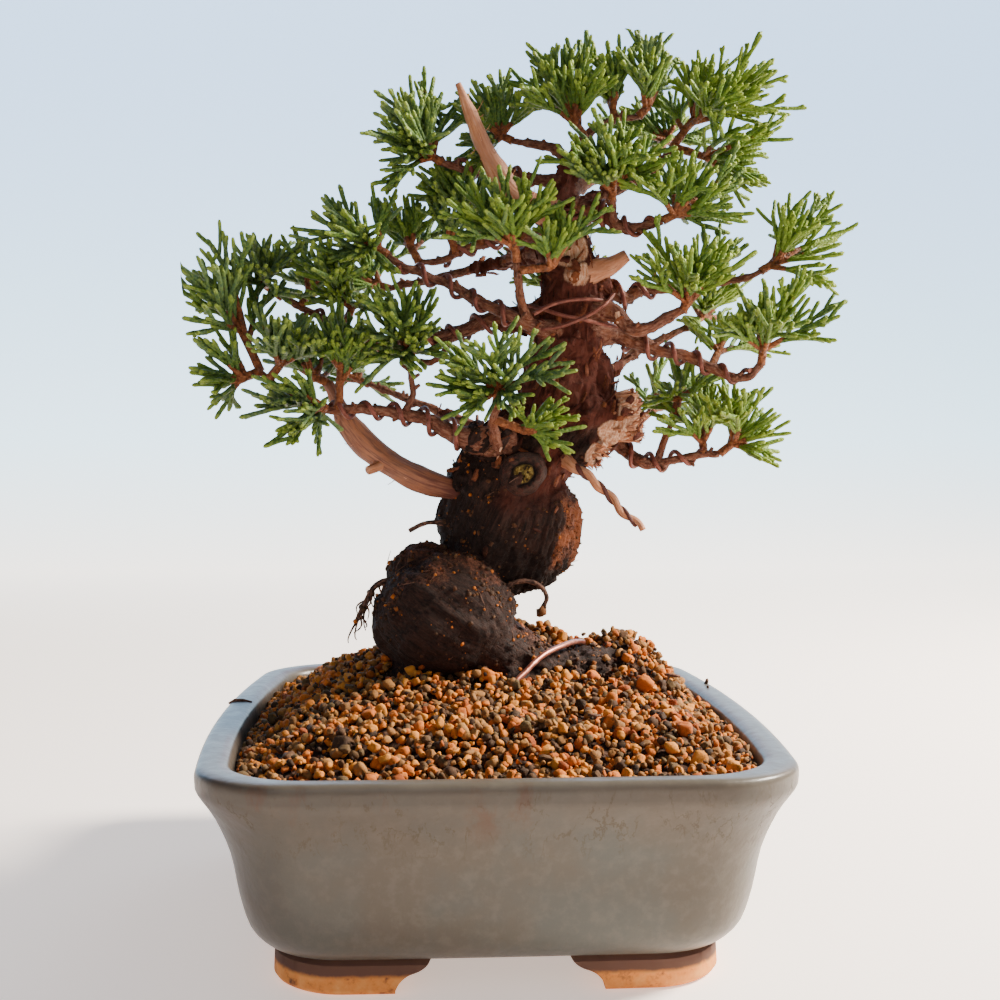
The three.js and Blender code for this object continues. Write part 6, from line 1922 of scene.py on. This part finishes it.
def make_stage(sizes):
    """A pale floor that curves up behind, soft lights, and the camera at the photograph's place."""
    deselect()
    bpy.ops.mesh.primitive_plane_add(size=4, location=(0, 0, -0.0002))
    floor = named("floor")
    bpy.ops.object.mode_set(mode="EDIT")
    bpy.ops.mesh.select_mode(type="EDGE")
    bpy.ops.mesh.select_all(action="DESELECT")
    shape = bmesh.from_edit_mesh(floor.data)
    for edge in shape.edges:
        edge.select = all(corner.co.y > 1.9 for corner in edge.verts)
    bmesh.update_edit_mesh(floor.data)
    bpy.ops.mesh.extrude_region_move(TRANSFORM_OT_translate={"value": (0, 0.6, 2.6)})
    bpy.ops.object.mode_set(mode="OBJECT")
    apply_place(floor)
    finish_with(floor, "BEVEL", width=1.1, segments=16, limit_method="ANGLE")
    pick(floor)
    bpy.ops.object.shade_smooth()
    glow = {"Roughness": 0.95, "Specular IOR Level": 0.1, "Emission Strength": sizes.backdrop_light}
    f = Finish("plain_stage", glow)
    values = {0: f.place(), 1: (0, 1, 1)}
    back = f.node("ShaderNodeVectorMath", {"operation": "DOT_PRODUCT"}, values, out="Value")
    share = f.between(back, 0.0, 3.2)
    colour = f.ramp(share, ((0.0, sizes.floor), (0.3, sizes.horizon), (1.0, sizes.sky)))
    low = ((0.0, sizes.near_glow), (0.05, sizes.far_glow), (0.22, sizes.horizon))
    light = f.ramp(share, (*low, (0.5, sizes.haze), (1.0, sizes.sky)))
    grain = f.noise(f.place(), 60.0, 3)
    f.wear(Base_Color=colour, Emission_Color=light, Normal=f.bump(grain, 0.05, 0.1))
    floor.data.materials.append(f.material)
    floor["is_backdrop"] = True

    world = bpy.data.worlds.new("soft_room")
    bpy.context.scene.world = world
    world.use_nodes = True
    back = world.node_tree.nodes["Background"]
    back.inputs["Color"].default_value = (*sizes.sky, 1.0)
    back.inputs["Strength"].default_value = sizes.room_light

    def lamp(name, place, aim, size, power, colour):
        deselect()
        bpy.ops.object.light_add(type="AREA", location=MIDDLE + Vector(place))
        made = bpy.context.object
        made.name = made.data.name = name
        made.data.shape, made.data.size, made.data.energy, made.data.color = "DISK", size, power, colour
        made.rotation_euler = (Vector(aim) - Vector(place)).to_track_quat("-Z", "Y").to_euler()

    lamp("key", (0.75, 0.05, 0.62), (0, 0, 0.1), 0.28, sizes.key_power, (1.0, 0.92, 0.8))
    lamp("front_fill", (-0.25, -1.1, 0.7), (0, 0, 0.08), 0.9, sizes.fill_power, (0.95, 0.97, 1.0))
    lamp("rim", (0.5, 0.9, 0.8), (0, 0, 0.12), 0.6, sizes.rim_power, (0.92, 0.96, 1.0))

    deselect()
    turn = (math.pi / 2 - CAMERA_PITCH, 0, -CAMERA_YAW)
    bpy.ops.object.camera_add(location=MIDDLE + Vector(CAMERA_PLACE), rotation=turn)
    camera = bpy.context.object
    camera.name = "camera"
    camera.data.sensor_width, camera.data.lens = 36.0, CAMERA_LENS
    camera.data.clip_start, camera.data.clip_end = 0.01, 20
    bpy.context.scene.camera = camera


# ---------------------------------------------------------------- sizes and colours


class PotSizes(bpy.types.PropertyGroup):
    """Colours of the pot and its drain nets."""

    glaze: colour_prop("Glaze", "Main colour of the glaze", (0.074, 0.062, 0.047))
    glaze_cool: colour_prop("Cool glaze", "Bluish drift in the glaze", (0.066, 0.068, 0.06))
    # the pale glaze also gives the painted highlight along the lip
    glaze_pale_and_lip_highlight: colour_prop("Pale glaze", "Mottling where the glaze is thick", (0.12, 0.108, 0.088))
    # the warm glaze also gives the painted shade on the pot's left end; under the lip it is the glaze's own
    # band
    glaze_warm_and_side_shade: colour_prop("Warm glaze", "Brownish band under the lip", (0.058, 0.042, 0.03))
    drips: colour_prop("Drips", "Dark drips and cracks under the lip", (0.05, 0.036, 0.02))
    rust: colour_prop("Rust", "Veins, specks and worn edges", (0.075, 0.026, 0.01))
    clay: colour_prop("Bare clay", "Unglazed feet", (0.6, 0.215, 0.05))
    clay_pale: colour_prop("Pale clay", "Lighter parts of the feet", (0.68, 0.31, 0.09))
    clay_dark: colour_prop("Burnt clay", "Band between the clay and the glaze", (0.1, 0.05, 0.035))
    net: colour_prop("Net", "Plastic of the drain nets", (0.02, 0.035, 0.02))
    net_dust: colour_prop("Net dust", "Soil dust on the nets", (0.16, 0.1, 0.06))


class SoilSizes(bpy.types.PropertyGroup):
    """Spacing and colours of the granules."""

    grain_gap: length_prop("Granule spacing", "Distance between neighbouring granules", 1.85 * MM)
    soil_dark: colour_prop("Dark soil", "Between the granules", (0.012, 0.005, 0.002))
    soil_brown: colour_prop("Brown soil", "Crumbs between the granules", (0.07, 0.026, 0.01))
    grain_dust: colour_prop("Dust", "Pale dust on the granules", (0.28, 0.15, 0.055))
    grain_rust: colour_prop("Rust granule", "Reddest of the orange granules", (0.24, 0.045, 0.007))
    grain_orange: colour_prop("Orange granule", "Most of the orange granules", (0.5, 0.13, 0.012))
    grain_amber: colour_prop("Amber granule", "Palest of the orange granules", (0.56, 0.205, 0.026))
    grain_ochre: colour_prop("Ochre granule", "Darkest of the tan granules", (0.16, 0.07, 0.02))
    grain_tan: colour_prop("Tan granule", "Most of the tan granules", (0.26, 0.11, 0.027))
    grain_pale: colour_prop("Pale granule", "Palest of the tan granules", (0.36, 0.165, 0.042))
    grain_black: colour_prop("Black granule", "Darkest granules", (0.024, 0.012, 0.006))
    grain_brown: colour_prop("Brown granule", "Middle of the dark granules", (0.08, 0.034, 0.012))
    grain_olive: colour_prop("Olive granule", "Greyish green granules", (0.11, 0.068, 0.024))


class WoodSizes(bpy.types.PropertyGroup):
    """Fineness and colours of the trunk, limbs and dead wood."""

    bark_step: length_prop("Bark fineness", "Size of the steps in the trunk's surface", 0.62 * MM)
    flakes: count_prop("Bark flakes", "Number of loose strips of bark", 620)
    bark_deep: colour_prop("Crevices", "Depth of the bark", (0.012, 0.005, 0.003))
    bark_red: colour_prop("Red bark", "Freshly peeled bark", (0.086, 0.02, 0.011))
    bark_brown: colour_prop("Brown bark", "Middle of the bark", (0.086, 0.024, 0.016))
    bark_dusty: colour_prop("Dusty bark", "Weathered plates", (0.155, 0.052, 0.036))
    bark_rust: colour_prop("Rusty bark", "Torn, rusty fibres", (0.22, 0.065, 0.022))
    burl_black: colour_prop("Burl depth", "Darkest of the burls", (0.006, 0.003, 0.0025))
    burl_brown: colour_prop("Burl", "Middle of the burls", (0.042, 0.018, 0.012))
    burl_dusty: colour_prop("Dusty burl", "Crests of the burls", (0.1, 0.048, 0.03))
    limb_red: colour_prop("Red limb", "Red of the limbs' bark", (0.12, 0.038, 0.02))
    limb_brown: colour_prop("Brown limb", "Brown of the limbs' bark", (0.2, 0.095, 0.06))
    scar_heart: colour_prop("Scar heart", "Greenish heart of the pruning scar", (0.14, 0.085, 0.015))
    scar_pale: colour_prop("Pale scar", "Yellow wood in the scar", (0.4, 0.3, 0.09))
    wood_dark: colour_prop("Wood shadow", "Dark grain of bare wood", (0.14, 0.05, 0.025))
    wood_red: colour_prop("Reddish wood", "Reddish patches on bare wood", (0.3, 0.12, 0.065))
    wood_orange: colour_prop("Orange wood", "Fresh bare wood", (0.48, 0.19, 0.085))
    wood_tan: colour_prop("Tan wood", "Weathered bare wood", (0.52, 0.26, 0.155))
    wood_cream: colour_prop("Cream wood", "Palest bare wood", (0.74, 0.5, 0.34))


class WireSizes(bpy.types.PropertyGroup):
    """Colours of the training wires."""

    wire: colour_prop("Wire", "Brown anodised metal", (0.17, 0.05, 0.034))
    wire_dark: colour_prop("Dull wire", "Tarnished metal", (0.07, 0.02, 0.014))
    wire_bright: colour_prop("Bright wire", "Rubbed metal", (0.32, 0.12, 0.085))
    wire_new: colour_prop("New wire", "Bright pinkish copper of the tie wire", (0.6, 0.3, 0.24))


class FoliageSizes(bpy.types.PropertyGroup):
    """Density and colours of the foliage."""

    finger_gap: length_prop("Finger spacing", "Distance between side fingers", 2.45 * MM)
    finger_rings: count_prop("Finger steps", "Rings of points along each finger", 7)
    fullness: bpy.props.FloatProperty(
        name="Fullness", description="Extra shoots for each drawn shoot", default=0.7, min=0, max=2
    )
    # the greens also stand for lit and shaded leaves: painted light and shade
    leaf: colour_prop("Leaf", "Middle green", (0.07, 0.14, 0.019))
    leaf_light: colour_prop("Light leaf", "Light green", (0.115, 0.186, 0.02))
    leaf_deep: colour_prop("Deep leaf", "Dark green", (0.042, 0.092, 0.019))
    leaf_blue: colour_prop("Shaded leaf", "Bluish green", (0.064, 0.118, 0.05))
    leaf_tip: colour_prop("Leaf tip", "Fresh tips", (0.26, 0.335, 0.035))
    twig_dark: colour_prop("Dark twig", "Old twig bark", (0.06, 0.022, 0.01))
    twig_rust: colour_prop("Rusty twig", "Rusty twig bark", (0.17, 0.052, 0.018))
    twig_orange: colour_prop("Orange twig", "Fresh orange bark", (0.3, 0.115, 0.045))


class StageSizes(bpy.types.PropertyGroup):
    """Colours of the floor and the room, and the lights' powers."""

    floor: colour_prop("Floor", "Colour of the floor", (0.9, 0.81, 0.75))
    horizon: colour_prop("Horizon", "Low part of the backdrop", (0.86, 0.79, 0.71))
    haze: colour_prop("Haze", "Middle part of the backdrop", (0.6, 0.86, 1.0))
    sky: colour_prop("Sky", "High part of the backdrop", (0.39, 0.57, 0.81))
    near_glow: colour_prop("Near glow", "Glow of the floor round the pot", (0.27, 0.22, 0.19))
    far_glow: colour_prop("Far glow", "Glow of the floor towards the backdrop", (0.39, 0.335, 0.285))
    backdrop_light: number_prop("Backdrop", "Glow of the backdrop", 2.9)
    room_light: number_prop("Room light", "Strength of the room", 0.28)
    key_power: number_prop("Key light", "Power of the key light", 46)
    fill_power: number_prop("Fill light", "Power of the fill light", 2.6)
    rim_power: number_prop("Rim light", "Power of the back light", 3)


# ---------------------------------------------------------------- operators and panel


class BONSAI_OT_stage(bpy.types.Operator):
    """Set the floor, the lights and the camera"""

    bl_idname = "bonsai.stage"
    bl_label = "Stage"

    def execute(self, context):
        make_stage(context.scene.bonsai_stage)
        return {"FINISHED"}


class BONSAI_OT_pot(bpy.types.Operator):
    """Make the glazed pot and finish its drain nets"""

    bl_idname = "bonsai.pot"
    bl_label = "Pot"

    def execute(self, context):
        make_pot(context.scene.bonsai_pot)
        dress_nets(context.scene.bonsai_pot)
        return {"FINISHED"}


class BONSAI_OT_soil(bpy.types.Operator):
    """Fill the pot with soil and granules"""

    bl_idname = "bonsai.soil"
    bl_label = "Soil"

    def execute(self, context):
        make_soil(context.scene.bonsai_soil)
        return {"FINISHED"}


class BONSAI_OT_trunk(bpy.types.Operator):
    """Make the burls, trunk and ridge root with their loose bark"""

    bl_idname = "bonsai.trunk"
    bl_label = "Trunk"

    def execute(self, context):
        sizes = context.scene.bonsai_wood
        make_flakes(make_trunk(sizes), sizes)
        return {"FINISHED"}


class BONSAI_OT_limbs(bpy.types.Operator):
    """Make the living limbs"""

    bl_idname = "bonsai.limbs"
    bl_label = "Limbs"

    def execute(self, context):
        make_limbs(context.scene.bonsai_wood)
        return {"FINISHED"}


class BONSAI_OT_deadwood(bpy.types.Operator):
    """Make the bare dead wood and the rootlets"""

    bl_idname = "bonsai.deadwood"
    bl_label = "Dead wood"

    def execute(self, context):
        make_deadwood(context.scene.bonsai_wood)
        return {"FINISHED"}


class BONSAI_OT_wires(bpy.types.Operator):
    """Coil the training wires on the limbs and lay the tie wire"""

    bl_idname = "bonsai.wires"
    bl_label = "Wires"

    def execute(self, context):
        make_wires(context.scene.bonsai_wire)
        return {"FINISHED"}


class BONSAI_OT_foliage(bpy.types.Operator):
    """Grow the sprays of scale leaves"""

    bl_idname = "bonsai.foliage"
    bl_label = "Foliage"

    def execute(self, context):
        make_foliage(context.scene.bonsai_foliage)
        return {"FINISHED"}


STEPS = (
    BONSAI_OT_stage,
    BONSAI_OT_pot,
    BONSAI_OT_soil,
    BONSAI_OT_trunk,
    BONSAI_OT_limbs,
    BONSAI_OT_deadwood,
    BONSAI_OT_wires,
    BONSAI_OT_foliage,
)
GROUPS = {
    "bonsai_pot": PotSizes,
    "bonsai_soil": SoilSizes,
    "bonsai_wood": WoodSizes,
    "bonsai_wire": WireSizes,
    "bonsai_foliage": FoliageSizes,
    "bonsai_stage": StageSizes,
}


class BONSAI_PT_panel(bpy.types.Panel):
    """Sizes, colours and building steps of the bonsai"""

    bl_idname = "BONSAI_PT_panel"
    bl_label = "Bonsai"
    bl_space_type = "VIEW_3D"
    bl_region_type = "UI"
    bl_category = "Bonsai"

    def draw(self, context):
        for step in STEPS:
            self.layout.operator(step.bl_idname)
        for group, kind in GROUPS.items():
            box = self.layout.box()
            box.label(text=kind.__name__)
            for key in kind.__annotations__:
                box.prop(getattr(context.scene, group), key)


CLASSES = (*GROUPS.values(), *STEPS, BONSAI_PT_panel)


def register():
    for each in CLASSES:
        bpy.utils.register_class(each)
    for group, kind in GROUPS.items():
        setattr(bpy.types.Scene, group, bpy.props.PointerProperty(type=kind))


def unregister():
    for group in GROUPS:
        delattr(bpy.types.Scene, group)
    for each in reversed(CLASSES):
        bpy.utils.unregister_class(each)


def main():
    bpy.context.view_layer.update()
    register()
    for step in STEPS:
        area, name = step.bl_idname.split(".")
        if getattr(getattr(bpy.ops, area), name)() != {"FINISHED"}:
            raise RuntimeError(step.bl_label + " was not finished")


if __name__ == "__main__":
    main()
